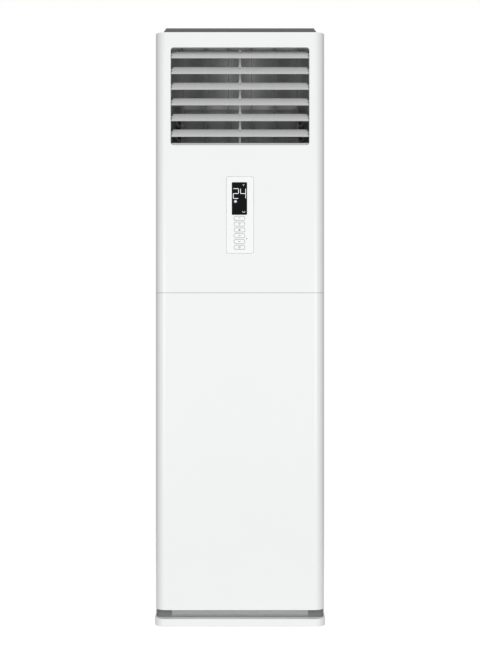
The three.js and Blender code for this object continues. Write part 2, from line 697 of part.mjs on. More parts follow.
// Channel across the seam, which both front panels fix to.
function makeCrossRail() {
  const front = CASING_FRONT + SHEET + FIT;
  const z = spread(RAIL_HEIGHT, lowerPanelZ[1] - CLIP_INSET + RAIL_HEIGHT / 4);
  const x = spread(2 * (INNER_HALF - FIT));
  const holes = [-1, 1].map((side) =>
    circle(CLIP_TIP_RADIUS + FIT, [(side * CLIP_PITCH) / 2, lowerPanelZ[1] - CLIP_INSET]),
  );
  const web = alongY(withHoles(rectangle(x, z), ...holes), [front, front + SHEET]);
  const lips = [z[0], z[1] - SHEET].map((low) =>
    block(x, [front, front + RAIL_DEPTH], [low, low + SHEET]),
  );
  add("cross_rail", join(web, ...lips), zincSteel);
}

function makeTop() {
  const topPlate = block(spread(CABINET_WIDTH), [RETURN_END + FIT, BACK], [TOP_PLATE_BOTTOM, PANEL_TOP]);
  add("top_plate", topPlate, whiteSteel);

  const capBottom = PANEL_TOP + FIT;
  const profile = (inset) => {
    const shape = new THREE.Shape();
    shape.moveTo(-CAP_WIDTH / 2 + inset, capBottom - inset);
    shape.lineTo(CAP_WIDTH / 2 - inset, capBottom - inset);
    shape.lineTo(CAP_WIDTH / 2 - CAP_SLANT - inset, CAP_TOP - inset);
    shape.lineTo(-CAP_WIDTH / 2 + CAP_SLANT + inset, CAP_TOP - inset);
    shape.closePath();
    return shape;
  };
  const capY = [FACE + CAP_SETBACK, BACK - CAP_REAR_SETBACK];
  const outer = alongY(profile(0), capY);
  const inner = alongY(profile(SHELL), grown(capY, -SHELL));
  add("top_cap", cut(outer, inner), capPlastic);

  const wall = BASE_DEPTH / 2 - BRACKET_WALL_GAP;
  const z = [PANEL_TOP + FIT, PANEL_TOP + FIT + BRACKET_HEIGHT];
  const foot = block(spread(BRACKET_WIDTH), [wall - BRACKET_FOOT, wall], [z[0], z[0] + BRACKET_SHEET]);
  const holes = [-1, 1].map((side) =>
    circle(BRACKET_HOLE_RADIUS, [(side * BRACKET_HOLE_PITCH) / 2, z[0] + BRACKET_HOLE_RISE]),
  );
  const leg = alongY(withHoles(rectangle(spread(BRACKET_WIDTH), z), ...holes), [
    wall - BRACKET_SHEET,
    wall,
  ]);
  add("wall_bracket", join(foot, leg), zincSteel);
}

// ---------------------------------------------------------------- air outlet

const louverAxisY =
  FACE + LOUVER_RECESS + LOUVER_FRONT * Math.cos(THREE.MathUtils.degToRad(LOUVER_TILT));
const louverPitch = (OUTLET_HEIGHT - LOUVER_FIRST - LOUVER_LAST) / (LOUVER_COUNT - 1);
const louverZ = (i) => OUTLET_TOP - LOUVER_FIRST - i * louverPitch;
const vaneX = (i) => (i - (VANE_COUNT - 1) / 2) * VANE_PITCH;
const vaneAxisY = FACE + VANE_AXIS_DEPTH;

function makeOutletFrame() {
  const y = [DUCT_FRONT, DUCT_FRONT + DUCT_DEPTH];
  const innerX = spread(2 * DUCT_HALF);
  const innerZ = [DUCT_FLOOR, DUCT_ROOF];
  const walls = alongY(
    withHoles(
      rectangle(grown(innerX, DUCT_WALL), grown(innerZ, DUCT_WALL)),
      rectangle(innerX, innerZ),
    ),
    y,
  );
  const flange = alongY(
    withHoles(
      rectangle(grown(innerX, DUCT_FLANGE), grown(innerZ, DUCT_FLANGE)),
      rectangle(innerX, innerZ),
    ),
    [y[0], y[0] + DUCT_WALL],
  );
  const sill = block(innerX, [y[0], y[0] + DUCT_WALL], [DUCT_FLOOR, OUTLET_BOTTOM + SILL_RISE]);
  const holes = [];
  const louverBore = LOUVER_PIN_RADIUS + PIN_CLEARANCE;
  const vaneBore = VANE_PIN_RADIUS + PIN_CLEARANCE;
  for (let i = 0; i < LOUVER_COUNT; i += 1) {
    const span = [-DUCT_HALF - 2 * DUCT_WALL, DUCT_HALF + 2 * DUCT_WALL];
    holes.push(rod(louverBore, "x", span, [louverAxisY, louverZ(i)]));
  }
  for (let i = 0; i < VANE_COUNT; i += 1) {
    const span = [DUCT_FLOOR - 2 * DUCT_WALL, DUCT_ROOF + 2 * DUCT_WALL];
    holes.push(rod(vaneBore, "z", span, [vaneX(i), vaneAxisY]));
  }
  add("outlet_frame", cut(join(walls, flange, sill), ...holes), greyPlastic);
}

// Blade section in Y and Z about the pivot, bowed upwards.
function bladeSection() {
  const half = (LOUVER_FRONT + LOUVER_REAR) / 2;
  const centre = (LOUVER_REAR - LOUVER_FRONT) / 2;
  const bow = (y) => LOUVER_CAMBER * (1 - ((y - centre) / half) ** 2);
  const taper = (y) => (LOUVER_THICKNESS / 2) * (1 - LOUVER_EDGE_TAPER * Math.abs((y - centre) / half) ** 3);
  const upper = [];
  const lower = [];
  for (let i = 0; i < LOUVER_STATIONS; i += 1) {
    const y = -LOUVER_FRONT + (i * 2 * half) / (LOUVER_STATIONS - 1);
    const middle = bow(y) - bow(0);
    upper.push(new THREE.Vector2(y, middle + taper(y)));
    lower.push(new THREE.Vector2(y, middle - taper(y)));
  }
  return new THREE.Shape([...lower, ...upper.reverse()]);
}

function louverGeometry() {
  const half = OUTLET_WIDTH / 2 - LOUVER_END_GAP;
  const pinEnd = DUCT_HALF + DUCT_WALL + 1;
  const earInner = LINK_WIDTH / 2 + LINK_SIDE_GAP;
  const notchStart = LOUVER_REAR - LINK_NOTCH;
  const [cornerCut, cornerLength] = LOUVER_CORNER;
  const tall = spread(LOUVER_REAR + LOUVER_FRONT);
  const blade = alongX(bladeSection(), [-half, half]);
  const corner = (side) => {
    const shape = new THREE.Shape();
    shape.moveTo(side * half, LOUVER_REAR - cornerLength);
    shape.lineTo(side * (half + 1), LOUVER_REAR - cornerLength);
    shape.lineTo(side * (half + 1), LOUVER_REAR + 1);
    shape.lineTo(side * (half - cornerCut), LOUVER_REAR + 1);
    shape.closePath();
    return alongZ(shape, tall);
  };
  const notch = block([-earInner, earInner], [notchStart, LOUVER_REAR + 1], tall);
  const ears = [-1, 1].map((side) => {
    const x = [side * earInner, side * (earInner + EAR_WIDTH)].sort((a, b) => a - b);
    return block(x, [notchStart, CRANK_RADIUS + EAR_HEIGHT / 2], spread(EAR_HEIGHT));
  });
  const pins = [
    rod(LOUVER_PIN_RADIUS, "x", [-pinEnd, -half + PIN_ROOT], [0, 0]),
    rod(LOUVER_PIN_RADIUS, "x", [half - PIN_ROOT, pinEnd], [0, 0]),
    rod(CRANK_PIN_RADIUS, "x", [-earInner - 1, earInner + 1], [CRANK_RADIUS, 0]),
  ];
  return join(cut(blade, corner(-1), corner(1), notch), ...ears, ...pins);
}

function makeLouvers() {
  const geometry = louverGeometry();
  const tilt = THREE.MathUtils.degToRad(LOUVER_TILT);
  for (let i = 0; i < LOUVER_COUNT; i += 1) {
    const louver = add("louver_" + (i + 1), geometry, greyPlastic);
    louver.position.set(0, louverAxisY, louverZ(i));
    louver.rotation.x = tilt;
  }
  const crankY = louverAxisY + CRANK_RADIUS * Math.cos(tilt);
  const crankRise = CRANK_RADIUS * Math.sin(tilt);
  const bore = CRANK_PIN_RADIUS + PIN_CLEARANCE;
  const top = louverZ(0) + crankRise + bore + LINK_END;
  const bar = block(spread(LINK_WIDTH), spread(LINK_DEPTH, crankY), [OUTLET_BOTTOM + LINK_LIFT, top]);
  const holes = [];
  for (let i = 0; i < LOUVER_COUNT; i += 1) {
    holes.push(rod(bore, "x", spread(2 * LINK_WIDTH), [crankY, louverZ(i) + crankRise]));
  }
  add("louver_link", cut(bar, ...holes), greyPlastic);
}

function makeVanes() {
  const height = DUCT_ROOF - DUCT_FLOOR - 2 * VANE_END_GAP;
  const bottom = DUCT_FLOOR + VANE_END_GAP;
  const [linkDepth, linkHeight] = VANE_LINK_SECTION;
  const linkLow = VANE_LINK_HEIGHT - linkHeight / 2 - bottom;
  const notchZ = [linkLow - LINK_SIDE_GAP, linkLow + linkHeight + LINK_SIDE_GAP];
  const blade = block(spread(VANE_THICKNESS), [-VANE_FRONT, VANE_REAR], [0, height]);
  const notch = block(spread(4 * VANE_THICKNESS), [-VANE_FRONT - 1, -VANE_FRONT + VANE_NOTCH], notchZ);
  const reach = VANE_END_GAP + DUCT_WALL;
  const pins = [
    rod(VANE_PIN_RADIUS, "z", [-reach, PIN_ROOT], [0, 0]),
    rod(VANE_PIN_RADIUS, "z", [height - PIN_ROOT, height + reach], [0, 0]),
    rod(CRANK_PIN_RADIUS, "z", grown(notchZ, 2), [0, -VANE_CRANK]),
  ];
  const geometry = join(cut(blade, notch), ...pins);
  for (let i = 0; i < VANE_COUNT; i += 1) {
    add("vane_" + (i + 1), geometry, darkPlastic).position.set(vaneX(i), vaneAxisY, bottom);
  }
  const bore = CRANK_PIN_RADIUS + PIN_CLEARANCE;
  const linkY = vaneAxisY - VANE_CRANK;
  const bar = block(
    grown([vaneX(0), vaneX(VANE_COUNT - 1)], bore + VANE_LINK_END),
    spread(linkDepth, linkY),
    spread(linkHeight, VANE_LINK_HEIGHT),
  );
  const holes = [];
  for (let i = 0; i < VANE_COUNT; i += 1) {
    const span = spread(2 * linkHeight, VANE_LINK_HEIGHT);
    holes.push(rod(bore, "z", span, [vaneX(i), linkY]));
  }
  add("vane_link", cut(bar, ...holes), darkPlastic);
}

// Flat round synchronous motors: one on the duct's right cheek, one on its roof.
function makeSwingMotors() {
  const bore = LOUVER_PIN_RADIUS + PIN_CLEARANCE;
  const start = DUCT_HALF + DUCT_WALL + FIT;
  const at = [louverAxisY, louverZ(LOUVER_MOTOR_AT)];
  const louverCan = [louverAxisY + SWING_MOTOR_OFFSET, louverZ(LOUVER_MOTOR_AT)];
  const louverMotor = cut(
    rod(SWING_MOTOR_RADIUS, "x", [start, start + SWING_MOTOR_LENGTH], louverCan, CAN_SIDES),
    rod(bore, "x", [start - 1, start + SWING_SHAFT_DEPTH], at),
  );
  add("louver_motor", louverMotor, zincSteel);
  const roof = DUCT_ROOF + DUCT_WALL + FIT;
  const place = [vaneX(VANE_COUNT - 1), vaneAxisY];
  const vaneCan = [vaneX(VANE_COUNT - 1), vaneAxisY + SWING_MOTOR_OFFSET];
  const vaneBore = VANE_PIN_RADIUS + PIN_CLEARANCE;
  const vaneMotor = cut(
    rod(SWING_MOTOR_RADIUS, "z", [roof, roof + SWING_MOTOR_LENGTH], vaneCan, CAN_SIDES),
    rod(vaneBore, "z", [roof - 1, roof + SWING_SHAFT_DEPTH], place),
  );
  add("vane_motor", vaneMotor, zincSteel);
}

// ---------------------------------------------------------------- control fascia

const windowX = spread(WINDOW_WIDTH, WINDOW_X);
const windowZ = [WINDOW_BOTTOM, WINDOW_BOTTOM + WINDOW_HEIGHT];
const fasciaRear = FACE + SHELL + FIT + FASCIA_BACK;
const buttonX = spread(BUTTON_WIDTH, WINDOW_X);
const buttonZ = (i) => spread(BUTTON_HEIGHT, WINDOW_BOTTOM - BUTTON_DROP - i * BUTTON_PITCH);

function makeFascia() {
  const holes = [rectangle(windowX, windowZ)];
  for (let i = 0; i < BUTTON_COUNT; i += 1) {
    holes.push(roundedRect(buttonX, buttonZ(i), BUTTON_RADIUS));
  }
  const front = alongY(
    withHoles(roundedRect(fasciaX, fasciaZ, FASCIA_RADIUS), ...holes),
    [FACE - FASCIA_PROUD, fasciaRear],
    2,
  );
  const flange = alongY(
    withHoles(
      rectangle(grown(fasciaX, FASCIA_FLANGE), grown(fasciaZ, FASCIA_FLANGE)),
      rectangle(grown(fasciaX, -FASCIA_FLANGE), grown(fasciaZ, -FASCIA_FLANGE)),
    ),
    [fasciaRear - FASCIA_BACK, fasciaRear],
  );
  add("control_fascia", join(front, flange), fasciaPlastic);

  const windowRear = fasciaRear + FIT + FASCIA_BACK;
  const pane = block(
    grown(windowX, -FIT),
    [FACE - FASCIA_PROUD - WINDOW_PROUD, windowRear],
    grown(windowZ, -FIT),
  );
  const paneFlange = block(
    grown(windowX, WINDOW_FLANGE),
    [fasciaRear + FIT, windowRear],
    grown(windowZ, WINDOW_FLANGE),
  );
  add("display_window", join(pane, paneFlange), blackGloss);
}

function makeButtons() {
  const capX = grown(spread(BUTTON_WIDTH), -BUTTON_GAP);
  const capZ = grown(spread(BUTTON_HEIGHT), -BUTTON_GAP);
  const [reach, thickness] = BUTTON_FLANGE;
  const flangeY = [fasciaRear + FIT, fasciaRear + FIT + thickness];
  const cap = alongY(
    roundedRect(capX, capZ, BUTTON_RADIUS - BUTTON_GAP),
    [FACE - FASCIA_PROUD - BUTTON_PROUD, flangeY[1]],
    3,
  );
  const flange = block(grown(capX, reach), flangeY, grown(capZ, reach));
  const geometry = join(cap, flange);
  for (let i = 0; i < BUTTON_COUNT; i += 1) {
    const [low, high] = buttonZ(i);
    const button = add("button_" + (i + 1), geometry, fasciaPlastic);
    button.position.set(WINDOW_X, 0, (low + high) / 2);
  }
}

// Board with the display module, one switch behind each button and posts to the fascia.
function makeDisplayBoard() {
  const buttonRear = fasciaRear + FIT + BUTTON_FLANGE[1];
  const boardFront = buttonRear + BUTTON_TRAVEL + BOARD_SETBACK;
  const boardZ = spread(BOARD_SIZE[1], FASCIA_BOTTOM + FASCIA_HEIGHT / 2);
  const boardX = spread(BOARD_SIZE[0]);
  const plate = block(boardX, [boardFront, boardFront + BOARD_THICKNESS], boardZ);
  const windowRear = fasciaRear + FIT + FASCIA_BACK;
  const module = block(
    windowX,
    [windowRear + FIT, boardFront + BOARD_THICKNESS / 2],
    windowZ,
  );
  const switches = [];
  for (let i = 0; i < BUTTON_COUNT; i += 1) {
    const [low, high] = buttonZ(i);
    switches.push(
      block(
        spread(SWITCH_SIZE, WINDOW_X),
        [buttonRear + BUTTON_TRAVEL + FIT, boardFront + BOARD_THICKNESS / 2],
        spread(SWITCH_SIZE, (low + high) / 2),
      ),
    );
  }
  const posts = [];
  for (const x of [-1, 1]) {
    for (const z of boardZ) {
      const inset = z === boardZ[0] ? POST_INSET[1] : -POST_INSET[1];
      const at = [x * (BOARD_SIZE[0] / 2 - POST_INSET[0]), z + inset];
      posts.push(rod(POST_RADIUS, "y", [fasciaRear + FIT, boardFront + BOARD_THICKNESS / 2], at));
    }
  }
  add("display_board", join(plate, module, ...switches, ...posts), boardGreen);
}

// ---------------------------------------------------------------- liner, deck, plenum plate

const tongueAngle = THREE.MathUtils.degToRad(TONGUE_ANGLE);
// The spiral's radius at an angle counted from +X towards +Z.
const scrollRadius = (angle) =>
  SCROLL_START + ((SCROLL_END - SCROLL_START) * (angle - tongueAngle)) / (2 * Math.PI - tongueAngle);
const blowerDepth = 2 * BLOWER_WALL + IMPELLER_GAP + IMPELLER_WIDTH + IMPELLER_REAR_GAP;
const blowerY = [BACK - BLOWER_REAR_GAP - blowerDepth, BACK - BLOWER_REAR_GAP];
const blowerX = -INNER_HALF + BLOWER_LEFT_GAP + BLOWER_WALL + scrollRadius(Math.PI);
const blowerZ = PAN_TOP + BLOWER_LIFT + BLOWER_WALL + scrollRadius(1.5 * Math.PI);
const throatX = [blowerX + SCROLL_START * Math.cos(tongueAngle), blowerX + SCROLL_END];
const linerInner = INNER_HALF - FIT - LINER_THICKNESS;
const linerBack = REAR_PANEL_FACE - SHEET - FIT;
const linerBottom = DECK_HEIGHT + DECK_SHEET + FIT;
const suctionDropY = BACK - SUCTION_DROP;
const liquidDropY = BACK - LIQUID_DROP;

function makeLiner() {
  const outer = INNER_HALF - FIT;
  const front = FACE + LINER_FRONT;
  const shape = new THREE.Shape();
  shape.moveTo(-outer, front);
  shape.lineTo(-linerInner, front);
  shape.lineTo(-linerInner, linerBack - LINER_THICKNESS);
  shape.lineTo(linerInner, linerBack - LINER_THICKNESS);
  shape.lineTo(linerInner, front);
  shape.lineTo(outer, front);
  shape.lineTo(outer, linerBack);
  shape.lineTo(-outer, linerBack);
  shape.closePath();
  add("foam_liner", alongZ(shape, [linerBottom, TOP_PLATE_BOTTOM - FIT]), foam);
}

function makeDeck() {
  const x = spread(2 * (INNER_HALF - FIT));
  const y = [CASING_FRONT + SHEET + FIT, linerBack];
  const hoseHole = circle(HOSE_RADIUS + HOSE_PASS, [SPIGOT_X, hoseDropY]);
  const throat = rectangle(throatX, grown(blowerY, -BLOWER_WALL));
  const suctionHole = circle(SUCTION_RADIUS + PIPE_PASS, [PIPE_RUN_X, suctionDropY]);
  const liquidHole = circle(LIQUID_RADIUS + PIPE_PASS, [PIPE_RUN_X, liquidDropY]);
  const plate = withHoles(rectangle(x, y), throat, suctionHole, liquidHole, hoseHole);
  add("mid_deck", alongZ(plate, [DECK_HEIGHT, DECK_HEIGHT + DECK_SHEET]), zincSteel);

  const plateFront = FACE + PLENUM_SETBACK;
  const plenum = block(
    spread(2 * (linerInner - FIT)),
    [plateFront, plateFront + SHEET],
    [linerBottom, DECK_HEIGHT + PLENUM_HEIGHT],
  );
  add("plenum_plate", plenum, zincSteel);
}

// ---------------------------------------------------------------- evaporator and pan

// The coil leans back across the room between the plenum plate and the liner.
const coilRoom = [FACE + PLENUM_SETBACK + SHEET, linerBack - LINER_THICKNESS];
const coilRun = coilRoom[1] - coilRoom[0] - COIL_DEPTH - 2 * COIL_PLATE_RIM - COIL_CLEARANCE;
const lean = Math.asin(coilRun / COIL_LENGTH);
const coilMiddleY = (coilRoom[0] + coilRoom[1]) / 2 + COIL_SHIFT;
// A place on the coil's centre line, counted up the slope from its middle.
const coilY = (along) => coilMiddleY + along * Math.sin(lean);
const coilZ = (along) => DECK_HEIGHT + COIL_RISE + along * Math.cos(lean);

function makeCoil() {
  const coil = new THREE.Group();
  coil.position.set(0, coilMiddleY, DECK_HEIGHT + COIL_RISE);
  coil.rotation.x = -lean;
  airConditioner.add(coil);

  const body = block(spread(COIL_WIDTH), spread(COIL_DEPTH), spread(COIL_LENGTH));
  const grooves = [];
  const count = Math.floor(COIL_WIDTH / COIL_GROOVE_PITCH) - 1;
  for (let i = 0; i < count; i += 1) {
    const x = (i - (count - 1) / 2) * COIL_GROOVE_PITCH;
    grooves.push(
      block(
        spread(COIL_GROOVE[0], x),
        [-COIL_DEPTH / 2 - 1, -COIL_DEPTH / 2 + COIL_GROOVE[1]],
        spread(COIL_LENGTH + 2),
      ),
    );
  }
  add("evaporator_fins", cut(body, ...grooves), aluminium, coil);

  const inner = COIL_WIDTH / 2 + FIT;
  const outer = inner + SHEET;
  const plate = block(
    [inner, outer],
    grown(spread(COIL_DEPTH), COIL_PLATE_RIM),
    spread(COIL_LENGTH + 2 * COIL_PLATE_RIM),
  );
  const bends = [];
  const step = COIL_LENGTH / BEND_COUNT;
  for (let row = 0; row < BEND_ROWS; row += 1) {
    for (let i = 0; i < BEND_COUNT; i += 1) {
      const y = (row - (BEND_ROWS - 1) / 2) * BEND_ROW_PITCH;
      const z = (i - (BEND_COUNT - 1) / 2) * step;
      const root = outer - SHEET / 2;
      const points = [[root, y, z - BEND_RADIUS]];
      for (const angle of [-60, 0, 60]) {
        const a = THREE.MathUtils.degToRad(angle);
        const out = root + BEND_STRAIGHT + BEND_RADIUS * Math.cos(a);
        points.push([out, y, z + BEND_RADIUS * Math.sin(a)]);
      }
      points.push([root, y, z + BEND_RADIUS]);
      bends.push(tube(points, BEND_TUBE_RADIUS, 5, 5));
    }
  }
  const right = join(plate, ...bends);
  add("coil_end_plate_right", right, copper, coil);
  add("coil_end_plate_left", mirrored(right), copper, coil);
}

const coilLowest =
  coilZ(-COIL_LENGTH / 2 - COIL_PLATE_RIM) - (COIL_DEPTH / 2 + COIL_PLATE_RIM) * Math.sin(lean);
const drainPanFloor = coilLowest - PAN_CLEAR;
const drainPanFront = FACE + PLENUM_SETBACK + SHEET + FIT;
const hoseDropY = drainPanFront + PAN_DEPTH / 2;
const hoseLowY = blowerY[0] - HOSE_BLOWER_GAP - HOSE_RADIUS; // in front of the blower

function makeDrainPan() {
  const y = [drainPanFront, drainPanFront + PAN_DEPTH];
  const x = spread(PAN_WIDTH);
  const bottom = drainPanFloor - PAN_WALL;
  const tray = block(x, y, [bottom, bottom + PAN_HEIGHT]);
  const hollow = block(
    grown(x, -PAN_WALL),
    grown(y, -PAN_WALL),
    [drainPanFloor, bottom + PAN_HEIGHT + 1],
  );
  const at = [SPIGOT_X, hoseDropY];
  const spigot = rod(SPIGOT_RADIUS, "z", [bottom - SPIGOT_LENGTH, bottom + PAN_WALL / 2], at);
  const bore = rod(SPIGOT_BORE, "z", [bottom - SPIGOT_LENGTH - 1, drainPanFloor + 1], at);
  const [restWidth, restFront] = COIL_REST;
  const coilFootY = coilY(-COIL_LENGTH / 2);
  const rests = [-1, 1].map((side) =>
    block(
      spread(restWidth, (side * COIL_WIDTH) / 2),
      [coilFootY - restFront, coilFootY + COIL_DEPTH / 2],
      [drainPanFloor - PAN_WALL / 2, coilLowest - FIT],
    ),
  );
  const pan = join(cut(join(cut(tray, hollow), spigot), bore), ...rests);
  add("drain_pan", pan, darkPlastic);
}

// ---------------------------------------------------------------- pipes and hose

function makePipes() {
  const plateOuter = COIL_WIDTH / 2 + FIT + SHEET;
  const headerX = plateOuter + BEND_STRAIGHT + BEND_RADIUS + BEND_TUBE_RADIUS + SUCTION_RADIUS;
  const [holeX, holeZ] = PIPE_HOLE;
  const endY = REAR_PANEL_FACE - SHEET - PIPE_END_INSET;
  const suction = [
    [headerX, coilY(SUCTION_TOP), coilZ(SUCTION_TOP)],
    [headerX, coilY(60), coilZ(60)],
    [headerX, coilY(-60), coilZ(-60)],
    [headerX + 1, coilY(-120) + 12, coilZ(-120)],
    [PIPE_RUN_X, suctionDropY - 8, coilZ(-190)],
    [PIPE_RUN_X, suctionDropY, coilZ(-235)],
    [PIPE_RUN_X, suctionDropY, DECK_HEIGHT + PIPE_STRAIGHT[0]],
    [PIPE_RUN_X, suctionDropY, DECK_HEIGHT - PIPE_STRAIGHT[1]],
    [PIPE_RUN_X, suctionDropY, holeZ + 60],
    [PIPE_RUN_X - 4, suctionDropY + 4, holeZ + 14],
    [holeX + 12, suctionDropY + 28, holeZ - 10],
    [holeX + 6, endY - 20, holeZ - 10],
    [holeX + 6, endY, holeZ - 10],
  ];
  add("suction_pipe", tube(suction, SUCTION_RADIUS, 36), copper);
  const liquid = [
    [plateOuter + 3 * FIT, coilY(LIQUID_START), coilZ(LIQUID_START)],
    [plateOuter + 12, coilY(LIQUID_START), coilZ(LIQUID_START)],
    [plateOuter + 24, coilY(LIQUID_START) + 30, coilZ(LIQUID_START - 10)],
    [PIPE_RUN_X - 6, liquidDropY - 30, coilZ(-150)],
    [PIPE_RUN_X, liquidDropY - 8, coilZ(-205)],
    [PIPE_RUN_X, liquidDropY, coilZ(-250)],
    [PIPE_RUN_X, liquidDropY, DECK_HEIGHT + PIPE_STRAIGHT[0]],
    [PIPE_RUN_X, liquidDropY, DECK_HEIGHT - PIPE_STRAIGHT[1]],
    [PIPE_RUN_X, liquidDropY, holeZ + 70],
    [PIPE_RUN_X - 3, liquidDropY + 4, holeZ + 34],
    [holeX + 10, liquidDropY + 22, holeZ + 14],
    [holeX + 6, endY, holeZ + 14],
  ];
  add("liquid_pipe", tube(liquid, LIQUID_RADIUS, 36), copper);
}

function makeDrainHose() {
  const top = drainPanFloor - PAN_WALL - SPIGOT_LENGTH - FIT;
  const [holeX, holeZ] = HOSE_HOLE;
  const points = [
    [SPIGOT_X, hoseDropY, top],
    [SPIGOT_X, hoseDropY, top - 40],
    [SPIGOT_X, hoseDropY, DECK_HEIGHT + HOSE_STRAIGHT[0]],
    [SPIGOT_X, hoseDropY, DECK_HEIGHT - HOSE_STRAIGHT[0]],
    [SPIGOT_X, hoseLowY, DECK_HEIGHT - HOSE_STRAIGHT[1]],
    [SPIGOT_X, hoseLowY, holeZ + 60],
    [SPIGOT_X + 1, hoseLowY + 14, holeZ + 14],
    [holeX, hoseLowY + 50, holeZ],
    [holeX, REAR_PANEL_FACE - 50, holeZ],
    [holeX, REAR_PANEL_FACE + 1, holeZ],
  ];
  add("drain_hose", tube(points, HOSE_RADIUS, 30), rubber);
}

// ---------------------------------------------------------------- blower

// Spiral wall of the housing in X and Z about the fan's axis, offset outwards.
function scrollOutline(offset, top) {
  const tongueX = SCROLL_START * Math.cos(tongueAngle) - offset;
  const shape = new THREE.Shape();
  for (let i = 0; i <= SCROLL_STEPS; i += 1) {
    const angle = tongueAngle + (i / SCROLL_STEPS) * (2 * Math.PI - tongueAngle);
    const radius = scrollRadius(angle) + offset;
    const [x, z] = [radius * Math.cos(angle), radius * Math.sin(angle)];
    if (i === 0) {
      shape.moveTo(tongueX, top);
      shape.lineTo(tongueX, z);
    } else {
      shape.lineTo(x, z);
    }
  }
  shape.lineTo(SCROLL_END + offset, top);
  shape.closePath();
  return shape;
}

function makeBlower() {
  const top = DECK_HEIGHT - FIT - blowerZ;
  const blower = new THREE.Group();
  blower.position.set(blowerX, 0, blowerZ);
  airConditioner.add(blower);
  const [front, rear] = blowerY;

  const outer = alongY(scrollOutline(BLOWER_WALL, top), blowerY);
  const inner = alongY(scrollOutline(0, top + 1), grown(blowerY, -BLOWER_WALL));
  const inletY = [front - 1, front + BLOWER_WALL + 1];
  const inletHole = rod(INLET_RADIUS + INLET_LIP / 2, "y", inletY, [0, 0], ROUND_SIDES);
  const motorY = [rear - BLOWER_WALL - 1, rear + 1];
  const motorHole = rod(MOTOR_HOLE_RADIUS, "y", motorY, [0, 0], ROUND_SIDES);
  const footBottom = PAN_TOP + FIT - blowerZ;
  const footZ = [footBottom, -SCROLL_START + BLOWER_FOOT_LAP];
  const feet = [-1, 1].map((side) => {
    const foot = block(spread(BLOWER_FOOT_WIDTH, (side * BLOWER_FOOT_SPACING) / 2), blowerY, footZ);
    return cut(foot, inner);
  });
  const housing = join(cut(outer, inner, inletHole, motorHole), ...feet);
  add("blower_housing", housing, darkPlastic, blower);

  // Bell mouth: flange in front of the wall, throat rolled into the impeller's eye.
  const edge = INLET_RADIUS + INLET_LIP + INLET_FLANGE;
  const inside = INLET_RADIUS + INLET_LIP / 2 - 1;
  const ring = [
    [edge, 0],
    [edge, -2],
    [INLET_RADIUS + INLET_LIP - 4, -2.5],
    [INLET_RADIUS + 4, -1],
    [INLET_RADIUS, 5],
    [INLET_RADIUS - 2, INLET_THROAT],
    [INLET_RADIUS, INLET_THROAT],
    [INLET_RADIUS + 2, 5.5],
    [inside, 1],
    [inside, 0],
  ].map(([r, y]) => new THREE.Vector2(r, y));
  ring.push(ring[0].clone());
  const bell = join(new THREE.LatheGeometry(ring.reverse(), ROUND_SIDES)).translate(0, front - FIT, 0);
  add("inlet_ring", bell, greyPlastic, blower);

  const impellerY = front + BLOWER_WALL + IMPELLER_GAP;
  makeImpeller(blower, impellerY);
  makeFanMotor(blower, impellerY + IMPELLER_WIDTH, rear);
}

function makeImpeller(blower, start) {
  const end = start + IMPELLER_WIDTH;
  const disc = rod(IMPELLER_RADIUS, "y", [end - IMPELLER_DISC, end], [0, 0], IMPELLER_BLADES);
  const hub = rod(HUB_RADIUS, "y", [end - HUB_LENGTH, end], [0, 0], CAN_SIDES);
  const shroud = alongY(
    withHoles(circle(IMPELLER_RADIUS), circle(IMPELLER_RADIUS - IMPELLER_BLADE)),
    [start, start + IMPELLER_DISC],
    CAN_SIDES,
  );
  const blades = [];
  const bladeY = [start + IMPELLER_DISC / 2, end - IMPELLER_DISC / 2];
  const inner = IMPELLER_RADIUS - IMPELLER_BLADE + 1;
  const outer = IMPELLER_RADIUS - 1;
  const middle = (inner + outer) / 2;
  const sweep = THREE.MathUtils.degToRad(BLADE_SWEEP);
  for (let i = 0; i < IMPELLER_BLADES; i += 1) {
    const angle = (2 * Math.PI * i) / IMPELLER_BLADES;
    const place = (r, a, side) => {
      const direction = angle + a;
      const across = (side * BLADE_THICKNESS) / 2;
      return new THREE.Vector2(
        r * Math.cos(direction) - across * Math.sin(direction),
        r * Math.sin(direction) + across * Math.cos(direction),
      );
    };
    const stations = [
      [inner, 0],
      [middle, -sweep / 2],
      [outer, sweep],
    ];
    const section = [
      ...stations.map(([r, a]) => place(r, a, -1)),
      ...stations.map(([r, a]) => place(r, a, 1)).reverse(),
    ];
    blades.push(alongY(new THREE.Shape(section), bladeY));
  }
  const boreY = [end - HUB_LENGTH - 1, end + 1];
  const bore = rod(SHAFT_RADIUS + FIT, "y", boreY, [0, 0], CAN_SIDES);
  add("impeller", cut(join(disc, hub, shroud, ...blades), bore), greyPlastic, blower);
}

function makeFanMotor(blower, discRear, rear) {
  const flangeY = [rear + FIT, rear + FIT + MOTOR_FLANGE];
  const bodyY = [discRear + MOTOR_NOSE_GAP, flangeY[1] + MOTOR_TAIL];
  const boreEnd = bodyY[1] - MOTOR_END_WALL;
  const boreRadius = SHAFT_RADIUS + SHAFT_CLEARANCE;
  const motor = cut(
    join(
      rod(MOTOR_RADIUS, "y", bodyY, [0, 0], ROUND_SIDES),
      rod(MOTOR_FLANGE_RADIUS, "y", flangeY, [0, 0], ROUND_SIDES),
    ),
    rod(boreRadius, "y", [bodyY[0] - 1, boreEnd], [0, 0], CAN_SIDES),
  );
  add("fan_motor", motor, zincSteel, blower);
  const shaftY = [discRear - HUB_LENGTH - SHAFT_STUB, boreEnd - FIT];
  add("motor_shaft", rod(SHAFT_RADIUS, "y", shaftY, [0, 0], CAN_SIDES), aluminium, blower);
}

// ---------------------------------------------------------------- electric box

